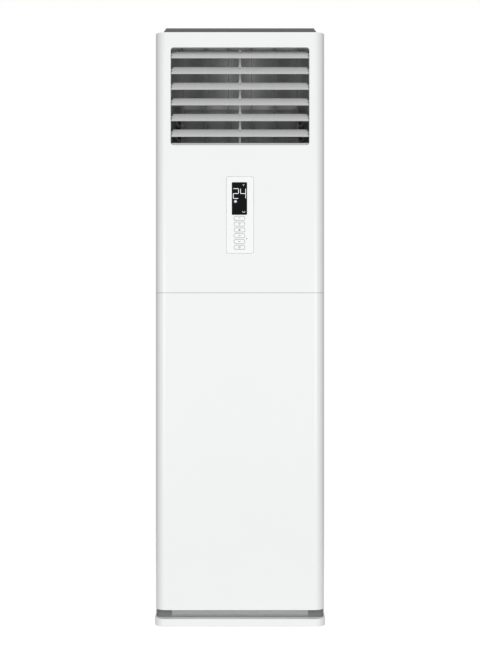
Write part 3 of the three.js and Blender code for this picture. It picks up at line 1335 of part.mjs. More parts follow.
function makeElectricBox() {
  const rear = FACE + PLENUM_SETBACK - FIT;
  const y = [rear - BOX_DEPTH, rear];
  const x = spread(BOX_WIDTH);
  const z = [BOX_BOTTOM, BOX_BOTTOM + BOX_HEIGHT];
  const wall = -BOX_SHEET;
  const tray = cut(
    block(x, y, z),
    block(grown(x, wall), [y[0] - 1, y[1] - BOX_SHEET], grown(z, wall)),
  );
  add("electric_box", tray, zincSteel);
  const lidY = [y[0] - FIT - BOX_SHEET, y[0] - FIT];
  const lid = block(grown(x, COVER_LAP), lidY, grown(z, COVER_LAP));
  add("electric_box_cover", lid, zincSteel);

  const [width, depth, height] = TERMINAL_SIZE;
  const [pocketWidth, pocketDepth, pocketHeight] = TERMINAL_POCKET;
  const floor = rear - BOX_SHEET - FIT;
  const left = x[0] + TERMINAL_PLACE[0];
  const middle = z[0] + TERMINAL_PLACE[1];
  const base = block([left, left + width], [floor - depth, floor], spread(height, middle));
  const ways = [];
  const pitch = width / TERMINAL_WAYS;
  for (let i = 0; i < TERMINAL_WAYS; i += 1) {
    ways.push(
      block(
        spread(pocketWidth, left + (i + 0.5) * pitch),
        [floor - depth - 1, floor - depth + pocketDepth],
        spread(pocketHeight, middle),
      ),
    );
  }
  add("terminal_block", cut(base, ...ways), darkPlastic);
}

// ---------------------------------------------------------------- assembly

makePlinth();
makeChassis();
makeUpperPanel();
makeLowerPanel();
makeSideCasing("side_casing_left", -1);
makeSideCasing("side_casing_right", 1);
makeIntake("left", -1);
makeIntake("right", 1);
makeRearPanel();
makeCrossRail();
makeTop();
makeOutletFrame();
makeLouvers();
makeVanes();
makeSwingMotors();
makeFascia();
makeButtons();
makeDisplayBoard();
makeLiner();
makeDeck();
makeCoil();
makeDrainPan();
makePipes();
makeDrainHose();
makeBlower();
makeElectricBox();

export default airConditioner;
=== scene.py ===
"""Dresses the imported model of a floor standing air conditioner.

Lengths in this file are millimetres, as on a drawing, and become metres in each mesh.
X runs to the right as seen from the front, Y from the front to the back and Z upwards.
"""

import json
import math

import bmesh
import bpy
from bpy.props import FloatProperty, FloatVectorProperty, IntProperty, PointerProperty
from mathutils import Matrix, Vector
from mathutils.geometry import tessellate_polygon

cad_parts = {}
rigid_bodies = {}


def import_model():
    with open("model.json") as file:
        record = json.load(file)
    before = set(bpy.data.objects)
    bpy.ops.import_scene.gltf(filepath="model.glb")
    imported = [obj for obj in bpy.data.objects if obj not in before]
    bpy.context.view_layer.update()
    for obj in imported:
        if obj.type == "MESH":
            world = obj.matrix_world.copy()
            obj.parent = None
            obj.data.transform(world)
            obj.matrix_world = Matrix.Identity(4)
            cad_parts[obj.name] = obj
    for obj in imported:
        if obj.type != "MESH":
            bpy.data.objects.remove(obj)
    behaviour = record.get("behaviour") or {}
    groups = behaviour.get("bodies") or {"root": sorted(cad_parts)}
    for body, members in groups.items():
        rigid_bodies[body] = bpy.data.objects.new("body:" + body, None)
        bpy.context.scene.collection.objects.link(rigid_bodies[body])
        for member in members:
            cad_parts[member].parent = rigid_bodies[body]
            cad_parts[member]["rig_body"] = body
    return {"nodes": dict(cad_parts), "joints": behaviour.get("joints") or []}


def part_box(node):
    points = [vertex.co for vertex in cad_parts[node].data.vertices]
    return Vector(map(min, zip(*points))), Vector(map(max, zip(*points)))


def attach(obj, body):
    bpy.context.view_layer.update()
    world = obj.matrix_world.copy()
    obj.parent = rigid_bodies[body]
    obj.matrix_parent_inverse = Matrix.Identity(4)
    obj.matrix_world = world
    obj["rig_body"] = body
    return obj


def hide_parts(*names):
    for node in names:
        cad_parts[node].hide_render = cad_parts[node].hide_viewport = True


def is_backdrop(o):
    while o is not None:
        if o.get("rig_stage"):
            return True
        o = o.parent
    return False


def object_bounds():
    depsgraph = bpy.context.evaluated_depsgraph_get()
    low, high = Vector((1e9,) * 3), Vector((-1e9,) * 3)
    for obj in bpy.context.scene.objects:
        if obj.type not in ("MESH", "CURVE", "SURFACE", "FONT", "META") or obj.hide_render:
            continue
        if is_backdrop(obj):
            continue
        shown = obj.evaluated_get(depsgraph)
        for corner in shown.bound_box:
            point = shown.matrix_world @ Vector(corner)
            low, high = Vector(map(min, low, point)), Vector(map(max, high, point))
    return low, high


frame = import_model()
CAD_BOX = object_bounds()

bl_info = {
    "name": "Floor standing air conditioner",
    "version": (1, 0, 0),
    "blender": (4, 5, 0),
    "location": "3D View > Sidebar > Air conditioner",
    "description": "Builds the finished shell, louvers, controls, coil and blower round the packed model",
    "category": "Object",
}

MM = 0.001
FIT = 0.3  # gap that seated pieces keep
BEYOND = 5.0  # how far a cutter reaches past what it cuts
SHARP = math.radians(32)  # edges that turn further than this are sharp and get rounded off
SIDES = (("left", -1), ("right", 1))


def span_of(node):
    """A node's X, Y and Z spans at rest."""
    low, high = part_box(node)
    return [(low[i] / MM, high[i] / MM) for i in range(3)]


def front_middle(node):
    """The X and Z of a node's middle, as seen from the front."""
    x, _, z = span_of(node)
    return (sum(x) / 2, sum(z) / 2)


def joint_point(name):
    """The point that a joint's axis passes through."""
    for joint in frame["joints"]:
        if joint["name"] == name:
            return [v / MM for v in joint["pos_m"]]
    raise KeyError(name)


# ------ properties


def colour_property(name, description, default):
    return FloatVectorProperty(
        name=name, description=description, default=default, subtype="COLOR", min=0, max=1)


class CabinetLook(bpy.types.PropertyGroup):
    """Colours and finishes that a user would change."""

    shell: colour_property("Shell", "Colour of the moulded front panels and plinth", (0.872, 0.884, 0.88))
    casing: colour_property("Casing", "Colour of the painted steel casings", (0.83, 0.845, 0.84))
    louver: colour_property("Louvers", "Colour of the louvers and their link", (0.6, 0.605, 0.6))
    cap: colour_property("Cap", "Colour of the cap on top", (0.095, 0.097, 0.099))
    ink: colour_property("Symbols", "Colour of the symbols printed on the buttons", (0.07, 0.072, 0.075))
    glow: colour_property("Display glow", "Colour of the lit segments", (0.8, 0.84, 0.88))
    glow_strength: FloatProperty(
        name="Glow strength", description="Strength of the lit segments", default=0.34, min=0, max=10)
    setting: IntProperty(
        name="Setting", description="Number on the display, in degrees", default=24, min=16, max=32)
    edge: FloatProperty(
        name="Panel edge", description="Edge radius of the front panels", unit="LENGTH", precision=4,
        default=1.3 * MM, min=0.2 * MM, max=2.5 * MM)


# ------ shader graph


def maths(operation, swapped=False):
    """A method that adds a Math node, for an operator or for its reflected form."""

    def method(self, other):
        pair = (other, self) if swapped else (self, other)
        return self.apply(operation, *pair)

    return method


class Signal:
    """A socket of a material's nodes that takes part in Python arithmetic."""

    def __init__(self, graph, socket):
        self.graph = graph
        self.socket = socket

    def apply(self, operation, *values):
        return self.graph.node("ShaderNodeMath", {"operation": operation}, dict(enumerate(values)))["Value"]

    __add__ = maths("ADD")
    __radd__ = maths("ADD", swapped=True)
    __sub__ = maths("SUBTRACT")
    __rsub__ = maths("SUBTRACT", swapped=True)
    __mul__ = maths("MULTIPLY")
    __rmul__ = maths("MULTIPLY", swapped=True)
    __truediv__ = maths("DIVIDE")
    __rtruediv__ = maths("DIVIDE", swapped=True)
    __pow__ = maths("POWER")
    __rpow__ = maths("POWER", swapped=True)
    above = maths("GREATER_THAN")
    larger = maths("MAXIMUM")
    smaller = maths("MINIMUM")

    def sine(self):
        return self.apply("SINE", self)

    def clamped(self):
        return self.larger(0.0).smaller(1.0)


class Graph:
    """The nodes of one material, with a Principled shader at their end."""

    def __init__(self, name, **constants):
        self.material = bpy.data.materials.new(name)
        self.material.use_nodes = True
        self.tree = self.material.node_tree
        self.shader = self.tree.nodes["Principled BSDF"]
        for key, value in constants.items():
            socket = key.replace("_", " ").title().replace("Ior", "IOR")
            self.shader.inputs[socket].default_value = value
        self.place = self.node("ShaderNodeTexCoord")["Object"]

    def node(self, kind, settings=None, inputs=None):
        """Adds a node with its settings, values and links, and gives its outputs by name."""
        made = self.tree.nodes.new(kind)
        for key, value in (settings or {}).items():
            setattr(made, key, value)
        for key, value in (inputs or {}).items():
            if isinstance(value, Signal):
                self.tree.links.new(value.socket, made.inputs[key])
            else:
                made.inputs[key].default_value = value
        return {socket.name: Signal(self, socket) for socket in reversed(made.outputs) if socket.enabled}

    def wire(self, name, signal):
        self.tree.links.new(signal.socket, self.shader.inputs[name])

    def stretched(self, scale):
        """The object's coordinates, scaled by a factor for each axis."""
        inputs = {0: self.place, 1: scale}
        return self.node("ShaderNodeVectorMath", {"operation": "MULTIPLY"}, inputs)["Vector"]

    def noise(self, scale, detail=2.0, roughness=0.5, at=None):
        inputs = {"Vector": at or self.place, "Scale": scale, "Detail": detail, "Roughness": roughness}
        return self.node("ShaderNodeTexNoise", None, inputs)["Fac"]

    def cells(self, scale, feature="F1", output="Distance"):
        inputs = {"Vector": self.place, "Scale": scale}
        return self.node("ShaderNodeTexVoronoi", {"feature": feature}, inputs)[output]

    def split(self, vector=None):
        """The X, Y and Z of a vector or, without one, of the object's coordinates."""
        return self.node("ShaderNodeSeparateXYZ", None, {0: vector or self.place})

    def rise(self, start, length):
        """Grows from 0 at a height to 1 at a length above it."""
        return (self.split()["Z"] - start * MM) / (length * MM)

    def blend(self, share, first, second):
        """A mix of two colours."""
        pair = [(*c, 1) if isinstance(c, tuple) else c for c in (first, second)]
        inputs = {0: share, 6: pair[0], 7: pair[1]}
        return self.node("ShaderNodeMix", {"data_type": "RGBA"}, inputs)["Result"]

    def bump(self, height, strength, depth):
        """Feeds the shader's normal."""
        inputs = {"Height": height, "Strength": strength, "Distance": depth * MM}
        self.wire("Normal", self.node("ShaderNodeBump", None, inputs)["Normal"])

    def colour(self, base, variation, scale):
        """A base colour that wanders a little darker and lighter over the surface."""
        darker = tuple(v * (1 - variation) for v in base)
        lighter = tuple(min(1.0, v * (1 + variation)) for v in base)
        self.wire("Base Color", self.blend(self.noise(scale, 3.0), darker, lighter))

    def roughness(self, middle, swing, scale):
        """A roughness that wanders by a swing to either side of its middle."""
        self.wire("Roughness", (self.noise(scale, 4.0) - 0.5) * (2 * swing) + middle)


# ------ materials

GRAIN = 2600.0  # of the noise, in waves per metre: spark-eroded grain, flow marks and orange peel
FLOW = 9.0
PEEL = 620.0
TOE_PAINTED_SHADE = (22.8, 24.0)  # height where the painted shade on the toe plate begins to pale, and over what height
DUCT_PAINTED_LIGHT = (1430.0, 250.0)  # the same for the painted light that pales the duct towards its roof
STRAND_PITCH = 1.6  # of the filter's net


def moulded_surface(graph, rough, grain):
    """Fine spark-eroded grain, faint flow marks and handling sheen."""
    graph.roughness(rough, 0.05, 28.0)
    graph.bump(graph.noise(GRAIN) * grain + graph.noise(FLOW, 1.0) * 2.0, 0.12, 0.06)


def moulded(name, base, rough, grain=0.5, variation=0.012):
    """Moulded plastic."""
    graph = Graph(name, ior=1.5)
    graph.colour(base, variation, 6.0)
    moulded_surface(graph, rough, grain)
    return graph.material


def duct_grey(name):
    """The outlet duct's plastic: grey at the sill, with painted light that makes it paler towards its shaded
    roof.
    """
    graph = Graph(name, ior=1.5)
    # painted light: the colour pales from mid grey low down to near white at the roof's underside
    rise = (graph.rise(*DUCT_PAINTED_LIGHT) + (graph.noise(FLOW) - 0.5) * 0.1).clamped()
    graph.wire("Base Color", graph.blend(rise, (0.44, 0.445, 0.44), (0.82, 0.825, 0.82)))
    moulded_surface(graph, 0.5, 0.6)
    return graph.material


def painted(name, base, rough):
    """Powder-coated steel with its orange peel."""
    graph = Graph(name, ior=1.48)
    graph.colour(base, 0.01, 4.0)
    graph.roughness(rough, 0.05, 18.0)
    graph.bump(graph.noise(PEEL, 3.0) + graph.noise(7.0, 1.0) * 3.0, 0.16, 0.07)
    return graph.material


def toe_paint(name):
    """Painted steel near the floor: darker towards its foot as painted shade, with vertical streaks along
    that shade's edge and in its roughness.
    """
    graph = Graph(name, ior=1.48)
    scuffs_and_shade_streaks = graph.noise(60.0, 5.0, 0.6, at=graph.stretched((1.0, 1.0, 8.0)))
    # painted shade: the colour darkens towards the foot, its edge broken up by the streak noise
    height = (graph.rise(*TOE_PAINTED_SHADE) + (scuffs_and_shade_streaks - 0.5) * 0.5).clamped()
    graph.wire("Base Color", graph.blend(height, (0.16, 0.163, 0.163), (0.52, 0.53, 0.53)))
    graph.wire("Roughness", scuffs_and_shade_streaks * 0.2 + 0.35)
    graph.bump(graph.noise(PEEL, 3.0), 0.16, 0.05)
    return graph.material


def galvanised(name):
    """Zinc sheet: spangle of many greys, each crystal with a gloss of its own."""
    graph = Graph(name, metallic=1.0)
    spangle = graph.split(graph.cells(95.0, output="Color"))
    fine = graph.noise(700.0, 4.0)
    tone = (spangle["X"] * 0.75 + fine * 0.25).clamped()
    graph.wire("Base Color", graph.blend(tone, (0.46, 0.48, 0.5), (0.66, 0.68, 0.7)))
    graph.wire("Roughness", spangle["Y"] * 0.16 + fine * 0.1 + 0.28)
    graph.bump(graph.noise(900.0) + graph.noise(30.0), 0.08, 0.08)
    return graph.material


def fin_stock(name):
    """Dull aluminium with rolling streaks along its height."""
    graph = Graph(name)
    streaks = graph.noise(40.0, 4.0, at=graph.stretched((30.0, 30.0, 1.0)))
    graph.wire("Base Color", graph.blend(streaks, (0.5, 0.51, 0.52), (0.68, 0.69, 0.7)))
    graph.wire("Roughness", streaks * 0.18 + 0.38)
    graph.bump(streaks, 0.1, 0.05)
    return graph.material


def copper(name):
    """Drawn copper gone brown in the damp air, with darker heat stains."""
    graph = Graph(name, metallic=1.0)
    stain = graph.noise(26.0, 5.0, 0.6)
    brown = graph.blend((stain * 1.8 - 0.5).clamped(), (0.34, 0.17, 0.11), (0.13, 0.075, 0.055))
    graph.wire("Base Color", graph.blend(graph.noise(300.0), brown, (0.22, 0.11, 0.07)))
    graph.wire("Roughness", stain * 0.3 + 0.18)
    graph.bump(graph.noise(900.0), 0.08, 0.04)
    return graph.material


def closed_cell_foam(name):
    """Cut polyethylene foam: open cells on the face and a soft, dull body."""
    graph = Graph(name, roughness=0.95)
    cells = graph.cells(650.0)
    graph.wire("Base Color", graph.blend(cells, (0.42, 0.424, 0.428), (0.64, 0.644, 0.648)))
    graph.bump(cells + graph.noise(40.0, 3.0) * 0.5, 0.5, 0.5)
    return graph.material


def filter_net(name):
    """Woven dust net: two sets of strands, seen as ridges with dark meshes between."""
    graph = Graph(name, roughness=0.8)
    place = graph.split()
    turns = math.tau / (STRAND_PITCH * MM)
    across, upright = [(place[axis] * turns).sine().clamped() for axis in "YZ"]
    weave = across.larger(upright)
    graph.wire("Base Color", graph.blend(weave, (0.012, 0.018, 0.026), (0.07, 0.12, 0.17)))
    graph.bump(weave, 0.6, 0.35)
    return graph.material


def board_laminate(name):
    """Green solder mask with the copper tracks showing as raised lines."""
    graph = Graph(name, roughness=0.35)
    ground = graph.cells(150.0, feature="DISTANCE_TO_EDGE").above(0.09)
    laid = graph.blend(ground, (0.05, 0.24, 0.08), (0.015, 0.1, 0.035))
    graph.wire("Base Color", graph.blend(graph.noise(500.0) * 0.3, laid, (0.02, 0.16, 0.05)))
    graph.bump(1 - ground, 0.3, 0.06)
    return graph.material


def hose_vinyl(name, base):
    """Matt flexible vinyl."""
    graph = Graph(name)
    graph.colour(base, 0.15, 50.0)
    graph.roughness(0.6, 0.1, 90.0)
    graph.bump(graph.noise(800.0, 3.0), 0.2, 0.1)
    return graph.material


def display_glass(name):
    """Smoked window over the display: deep black with a hard gloss and faint smears."""
    graph = Graph(name, ior=1.5, specular_ior_level=0.2)
    smears = graph.noise(35.0, 5.0, 0.6)
    graph.wire("Base Color", graph.blend(smears, (0.004, 0.004, 0.005), (0.009, 0.009, 0.01)))
    graph.wire("Roughness", smears * 0.08 + 0.05)
    return graph.material


def lit_segment(name, glow, strength):
    """A lit part of the display, a little uneven as a light guide is."""
    graph = Graph(name, roughness=0.4, emission_strength=strength)
    bright = tuple(glow)
    soft = tuple(v * 0.82 for v in bright)
    uneven = graph.blend(graph.noise(240.0), soft, bright)
    graph.wire("Base Color", uneven)
    graph.wire("Emission Color", uneven)
    return graph.material


def printed_ink(name, base):
    """Pad-printed ink, slightly thin in places."""
    graph = Graph(name, roughness=0.5)
    graph.colour(base, 0.12, 900.0)
    return graph.material


def finishes(look):
    """Each surface's maker and what it is given, by the surface's name."""
    return {
        "white_plastic": (moulded, look.shell, 0.36),
        "fascia_plastic": (moulded, [min(1, v * 1.06) for v in look.shell], 0.28, 0.3),
        "louver_plastic": (moulded, look.louver, 0.42, 0.6, 0.03),
        # painted shade: the link is the louvers' own plastic, darkened by a third where it sits behind them
        "link_grey": (moulded, [v * 0.66 for v in look.louver], 0.5, 0.6, 0.03),
        "duct_plastic": (moulded, (0.15, 0.153, 0.156), 0.55, 1.0, 0.1),
        "duct_grey": (duct_grey,),
        "cap_plastic": (moulded, look.cap, 0.5, 1.6, 0.05),
        "white_steel": (painted, look.casing, 0.34),
        "toe_steel": (toe_paint,),
        "toe_primer": (painted, (0.14, 0.142, 0.145), 0.5),
        "zinc_steel": (galvanised,),
        "coil_sheet": (painted, (0.74, 0.745, 0.75), 0.4),
        "fin_aluminium": (fin_stock,),
        "bend_lacquer": (painted, (0.36, 0.33, 0.31), 0.4),
        "copper_tube": (copper,),
        "pipe_sleeve": (hose_vinyl, (0.5, 0.5, 0.49)),
        "hose_rubber": (hose_vinyl, (0.035, 0.036, 0.038)),
        "foam": (closed_cell_foam,),
        "filter_mesh": (filter_net,),
        "circuit_board": (board_laminate,),
        "display_black": (display_glass,),
        "lit_segment": (lit_segment, look.glow, look.glow_strength),
        "printed_ink": (printed_ink, look.ink),
        "rim_ink": (printed_ink, [v + 0.22 for v in look.ink]),
    }


def material(surface):
    """A surface's material, made on first use. The frame's own materials have the plain names."""
    name = surface + "_finish"
    made = bpy.data.materials.get(name)
    if made is None:
        maker, *given = finishes(bpy.context.scene.cabinet_look)[surface]
        made = maker(name, *given)
    return made


# ------ outlines

CORNER_STEPS = 20


def arc(centre, radius, start, end, steps):
    """Points on an arc, angles in degrees."""
    points = []
    for i in range(steps + 1):
        angle = math.radians(start + (end - start) * i / steps)
        points.append((centre[0] + radius * math.cos(angle), centre[1] + radius * math.sin(angle)))
    return points


def circle(centre, radius, steps):
    return arc(centre, radius, 0, 360, steps)[:-1]


def rounded(u, v, radius, steps=6, margin=0.0):
    """A rectangle with round corners, anticlockwise and grown by a margin."""
    (left, right), (bottom, top) = grown(u, -radius), grown(v, -radius)
    outline = []
    for i, centre in enumerate(((right, bottom), (right, top), (left, top), (left, bottom)), -1):
        outline += arc(centre, radius + margin, i * 90, i * 90 + 90, steps)
    return outline


def tablet(at, size, margin=0.0):
    """A rounded rectangle of a width, height and corner radius about a middle, grown by a margin."""
    width, height, radius = size
    return rounded(around(at[0], width), around(at[1], height), radius, margin=margin)


def rectangle(u, v):
    return [(u[0], v[0]), (u[1], v[0]), (u[1], v[1]), (u[0], v[1])]


def around(middle, width):
    return (middle - width / 2, middle + width / 2)


def grown(span, margin):
    return (span[0] - margin, span[1] + margin)


def plan(half, front, rear, corner):
    """The cabinet's outline seen from above, its round front corners given by width and depth."""
    wide, deep = corner
    outline = []
    for side, start in ((-1, 180), (1, 270)):
        for x, y in arc((0, 0), 1, start, start + 90, CORNER_STEPS):
            outline.append((side * (half - wide) + wide * x, front + deep + deep * y))
    return [(-half, rear), *outline, (half, rear)]


# ------ mesh building

DRAWN = {  # an outline's point and its place along the axis that it is raised along, as X, Y and Z
    "x": lambda u, v, t: (t, u, v),
    "y": lambda u, v, t: (u, t, v),
    "z": lambda u, v, t: (u, v, t),
}
AXIS = 0.01  # radius of a turned profile's points on its axis


class Maker:
    """Builds one piece's mesh from closed solids."""

    def __init__(self):
        self.bm = bmesh.new()

    def loop(self, places):
        return [self.bm.verts.new([v * MM for v in place]) for place in places]

    def band(self, low, high):
        """Quads between two loops of equal length."""
        for i in range(len(low)):
            j = (i + 1) % len(low)
            self.bm.faces.new((low[i], low[j], high[j], high[i]))

    def prism(self, outline, span, axis="z", holes=()):
        """An outline with holes, drawn across an axis and raised along it."""
        loops = [outline, *holes]
        ends = []
        for level in span:
            ends.append([self.loop([DRAWN[axis](u, v, level) for u, v in loop]) for loop in loops])
        flat = tessellate_polygon([[Vector((u, v, 0)) for u, v in loop] for loop in loops])
        for rings in ends:
            verts = [v for ring in rings for v in ring]
            for triangle in flat:
                self.bm.faces.new([verts[i] for i in triangle])
        for low, high in zip(*ends):
            self.band(low, high)
        return self

    def block(self, x, y, z):
        return self.prism(rectangle(x, y), z)

    def rod(self, radius, span, at, axis, steps):
        return self.prism(circle(at, radius, steps), span, axis)

    def lathe(self, profile, at, steps):
        """A closed profile of radius and Y, turned about an axis along Y through X and Z."""
        rings = []
        for radius, y in profile:
            rings.append(self.loop([(x, y, z) for x, z in circle(at, radius, steps)]))
        for low, high in zip(rings, rings[1:] + rings[:1]):
            self.band(low, high)
        return self

    def tube(self, path, radius, sides):
        """A round bar along a smooth path."""
        points = [Vector(p) for p in path]
        across = None
        rings = []
        for i, point in enumerate(points):
            ahead = (points[min(i + 1, len(points) - 1)] - points[max(i - 1, 0)]).normalized()
            if across is None:
                across = ahead.orthogonal()
            across = (across - ahead * across.dot(ahead)).normalized()
            beside = ahead.cross(across)
            ring = [point + across * u + beside * v for u, v in circle((0, 0), radius, sides)]
            rings.append(self.loop(ring))
        for low, high in zip(rings, rings[1:]):
            self.band(low, high)
        self.bm.faces.new(rings[0][::-1])
        self.bm.faces.new(rings[-1])
        return self

    def raw(self, name):
        """The mesh as a bare object, with its faces pointing out."""
        bmesh.ops.recalc_face_normals(self.bm, faces=self.bm.faces)
        mesh = bpy.data.meshes.new(name)
        self.bm.to_mesh(mesh)
        self.bm.free()
        made = bpy.data.objects.new(name, mesh)
        bpy.context.scene.collection.objects.link(made)
        return made

    def carve(self, *cutters, operation="DIFFERENCE"):
        """Cuts other solids out of this one."""
        host = self.raw("carving")
        helpers = [cutter.raw("cutter") for cutter in cutters]
        for helper in helpers:
            step = host.modifiers.new("carve", "BOOLEAN")
            step.operation = operation
            step.solver = "EXACT"
            step.object = helper
        bpy.context.view_layer.update()
        depsgraph = bpy.context.evaluated_depsgraph_get()
        mesh = bpy.data.meshes.new_from_object(host.evaluated_get(depsgraph))
        self.bm = bmesh.new()
        self.bm.from_mesh(mesh)
        for data in [mesh, host.data, *[helper.data for helper in helpers]]:
            bpy.data.meshes.remove(data)
        return self

    def joined(self, *others):
        """Joins other solids to this one."""
        return self.carve(*others, operation="UNION")

    def merged(self, other):
        """Takes another solid into the same mesh, without a Boolean."""
        mesh = bpy.data.meshes.new("part")
        other.bm.to_mesh(mesh)
        self.bm.from_mesh(mesh)
        bpy.data.meshes.remove(mesh)
        other.bm.free()
        return self

    def copied(self):
        other = Maker()
        other.bm.free()
        other.bm = self.bm.copy()
        return other

    def sided(self, sign):
        """The same piece or, for a sign under 0, its mirror image on the cabinet's left."""
        bmesh.ops.scale(self.bm, vec=(sign, 1, 1), verts=self.bm.verts)
        return self

    def placed(self, matrix):
        bmesh.ops.transform(self.bm, matrix=matrix, verts=self.bm.verts)
        return self


def round_edges(item, edge, segments=2):
    """Rounds the sharp edges. edge is a width, or gives one for the middle of an edge."""
    step = item.modifiers.new("edges", "BEVEL")
    step.segments = segments
    step.harden_normals = True
    step.use_clamp_overlap = True
    step.miter_outer = "MITER_ARC"
    if not callable(edge):
        step.width = edge * MM
        step.limit_method = "ANGLE"
        step.angle_limit = SHARP
        return
    bm = bmesh.new()
    bm.from_mesh(item.data)
    layer = bm.edges.layers.float.new("bevel_weight_edge")
    widths = {}
    for line in bm.edges:
        if len(line.link_faces) == 2 and line.calc_face_angle(0) > SHARP:
            widths[line] = edge((line.verts[0].co + line.verts[1].co) / 2 / MM)
    largest = max(widths.values())
    for line, width in widths.items():
        line[layer] = width / largest
    bm.to_mesh(item.data)
    bm.free()
    step.width = largest * MM
    step.limit_method = "WEIGHT"


def finish(maker, name, surface, node, edge=0.5, segments=2, slot=None, stands_in=True):
    """Turns a mesh into a named piece that rides on its node's body and may stand for the node."""
    bm = maker.bm
    bmesh.ops.remove_doubles(bm, verts=bm.verts, dist=0.002 * MM)
    bmesh.ops.dissolve_limit(
        bm, angle_limit=math.radians(0.2), verts=bm.verts, edges=bm.edges, delimit=set())
    item = maker.raw(name)
    for polygon in item.data.polygons:
        polygon.use_smooth = True
    item.data.set_sharp_from_angle(angle=SHARP)
    item.data.materials.append(material(surface))
    if edge:
        round_edges(item, edge, segments)
    even = item.modifiers.new("normals", "WEIGHTED_NORMAL")
    even.keep_sharp = True
    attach(item, frame["nodes"][node]["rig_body"])
    slot or surface
    if stands_in:
        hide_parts(node)


def trim(maker, name, surface, node, slot=None):
    """Finishes a small piece that is added to its node's shape, with its edges left sharp."""
    finish(maker, name, surface, node, edge=0, slot=slot, stands_in=False)


def dress(node, surface, edge=0.4, smooth=None):
    """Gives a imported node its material, and fine edges or, where it is round, smooth sides."""
    item = frame["nodes"][node]
    item.data.materials.clear()
    item.data.materials.append(material(surface))
    for polygon in item.data.polygons:
        polygon.use_smooth = smooth is not None
    if smooth is None:
        flat = item.modifiers.new("faces", "DECIMATE")
        flat.decimate_type = "DISSOLVE"
        flat.angle_limit = math.radians(0.5)
        round_edges(item, edge)
    else:
        split = item.modifiers.new("sides", "EDGE_SPLIT")
        split.split_angle = math.radians(smooth)


# ------ front panels

CORNER = (31.0, 36.0)  # width and depth of the round corners of the panels and plinth
SEAM = 0.8  # how far each front panel reaches into the seam between them
WALL = 3.0
FINE_EDGE = 0.4
OUTLET_MARGIN = (11.0, 26.0, 18.0)  # from the duct's sides, bottom and top to the opening
OUTLET_RADIUS = 8.0
OUTLET_EDGE = 1.3
LIP_DEPTH = 10.0
FASCIA_FLANGE = 4.0
FASCIA_RADIUS = 6.0
FASCIA_GAP = 0.8
CLIP_X = 190.0
CLIP_INSET = 18.0  # from the lower panel's top and bottom
CLIP_RADII = (7.0, 3.0)  # of a clip's boss and tip
CLIP_REACH = 6.0

PANEL_X, (FACE, PANEL_REAR), UPPER_Z = span_of("upper_front_panel")
HALF = PANEL_X[1]
LOWER_Z = span_of("lower_front_panel")[2]
PANEL_BOTTOM = LOWER_Z[0]
DUCT = span_of("outlet_frame")
OUTLET_X = grown(DUCT[0], -OUTLET_MARGIN[0])
OUTLET_Z = (DUCT[2][0] + OUTLET_MARGIN[1], DUCT[2][1] - OUTLET_MARGIN[2])
FASCIA = span_of("control_fascia")
FASCIA_X = grown(FASCIA[0], -FASCIA_FLANGE)
FASCIA_Z = grown(FASCIA[2], -FASCIA_FLANGE)


def inside(u, v, middle, margin):
    """Whether a place is within a margin of a rectangle, as seen from the front."""
    (left, right), (bottom, top) = grown(u, margin), grown(v, margin)
    return left < middle.x < right and bottom < middle.z < top


def panel_shell(z, floor):
    """A wrapped panel, open behind, with a flange along its top and perhaps its bottom."""
    shell = Maker().prism(plan(HALF, FACE, PANEL_REAR, CORNER), z)
    inner_z = (z[0] + WALL if floor else z[0] - BEYOND, z[1] - WALL)
    inner = plan(HALF - WALL, FACE + WALL, PANEL_REAR + BEYOND, [v - WALL for v in CORNER])
    return shell.carve(Maker().prism(inner, inner_z))


def make_upper_panel(look):
    z = (UPPER_Z[0] - SEAM, UPPER_Z[1])
    collar = rounded(OUTLET_X, OUTLET_Z, OUTLET_RADIUS, margin=WALL)
    opening = rounded(OUTLET_X, OUTLET_Z, OUTLET_RADIUS)
    pocket = rounded(FASCIA_X, FASCIA_Z, FASCIA_RADIUS, margin=FASCIA_GAP)
    lip = Maker().prism(collar, (FACE + WALL / 2, FACE + LIP_DEPTH), "y")
    cutters = [
        Maker().prism(opening, grown((FACE, FACE + LIP_DEPTH), BEYOND), "y"),
        Maker().prism(pocket, grown((FACE, FACE + WALL), BEYOND), "y"),
    ]
    panel = panel_shell(z, False).joined(lip).carve(*cutters)

    def edge(middle):
        if inside(OUTLET_X, OUTLET_Z, middle, 2) and middle.y < FACE + 1:
            return OUTLET_EDGE
        outside = middle.y < PANEL_REAR - 2 or abs(middle.x) > HALF - 1
        if outside and middle.z > z[1] - 1:
            return look.edge / MM
        return SEAM if outside and middle.z < z[0] + 1 else FINE_EDGE

    finish(panel, "front_panel_upper", "white_plastic", "upper_front_panel", edge, segments=4)


def make_lower_panel(look):
    z = (LOWER_Z[0], LOWER_Z[1] + SEAM)
    boss, tip = CLIP_RADII
    clips = []
    for x in (-CLIP_X, CLIP_X):
        for height in grown(z, -CLIP_INSET):
            clips.append(Maker().rod(boss, (FACE + WALL / 2, PANEL_REAR), (x, height), "y", 20))
            clips.append(Maker().rod(tip, (PANEL_REAR - 1, PANEL_REAR + CLIP_REACH), (x, height), "y", 16))
    panel = panel_shell(z, True).joined(*clips)

    def edge(middle):
        if middle.z < z[0] + 1:
            return look.edge / MM
        return SEAM if middle.z > z[1] - 1 else FINE_EDGE

    finish(panel, "front_panel_lower", "white_plastic", "lower_front_panel", edge, segments=4)


# ------ plinth, toe and cap

PLINTH_SKIN = 4.0  # over the hollows under the plinth
PLINTH_RIB = 44.0
PLINTH_RIM = 12.0
PLINTH_EDGES = (2.0, 1.0)  # of the top and of the rest
TOE_PLATE = 199.0  # half its width
TOE_PLATE_PROUD = 0.6
SKIRT_HALF = 245.6
SKIRT_CORNER = (14.0, 18.0)
SKIRT_REAR = -70.0
SKIRT_SHEET = 1.0
SKIRT_GAP = 2.0  # to the panels
CAP_SLANT = 14.5  # how far each end leans in towards the top
CAP_WALL = 3.0
CAP_FLUTES = 9
CAP_FLUTE = (46.0, 12.0, 0.9)  # pitch, width and depth
CAP_FLUTE_INSET = 26.0


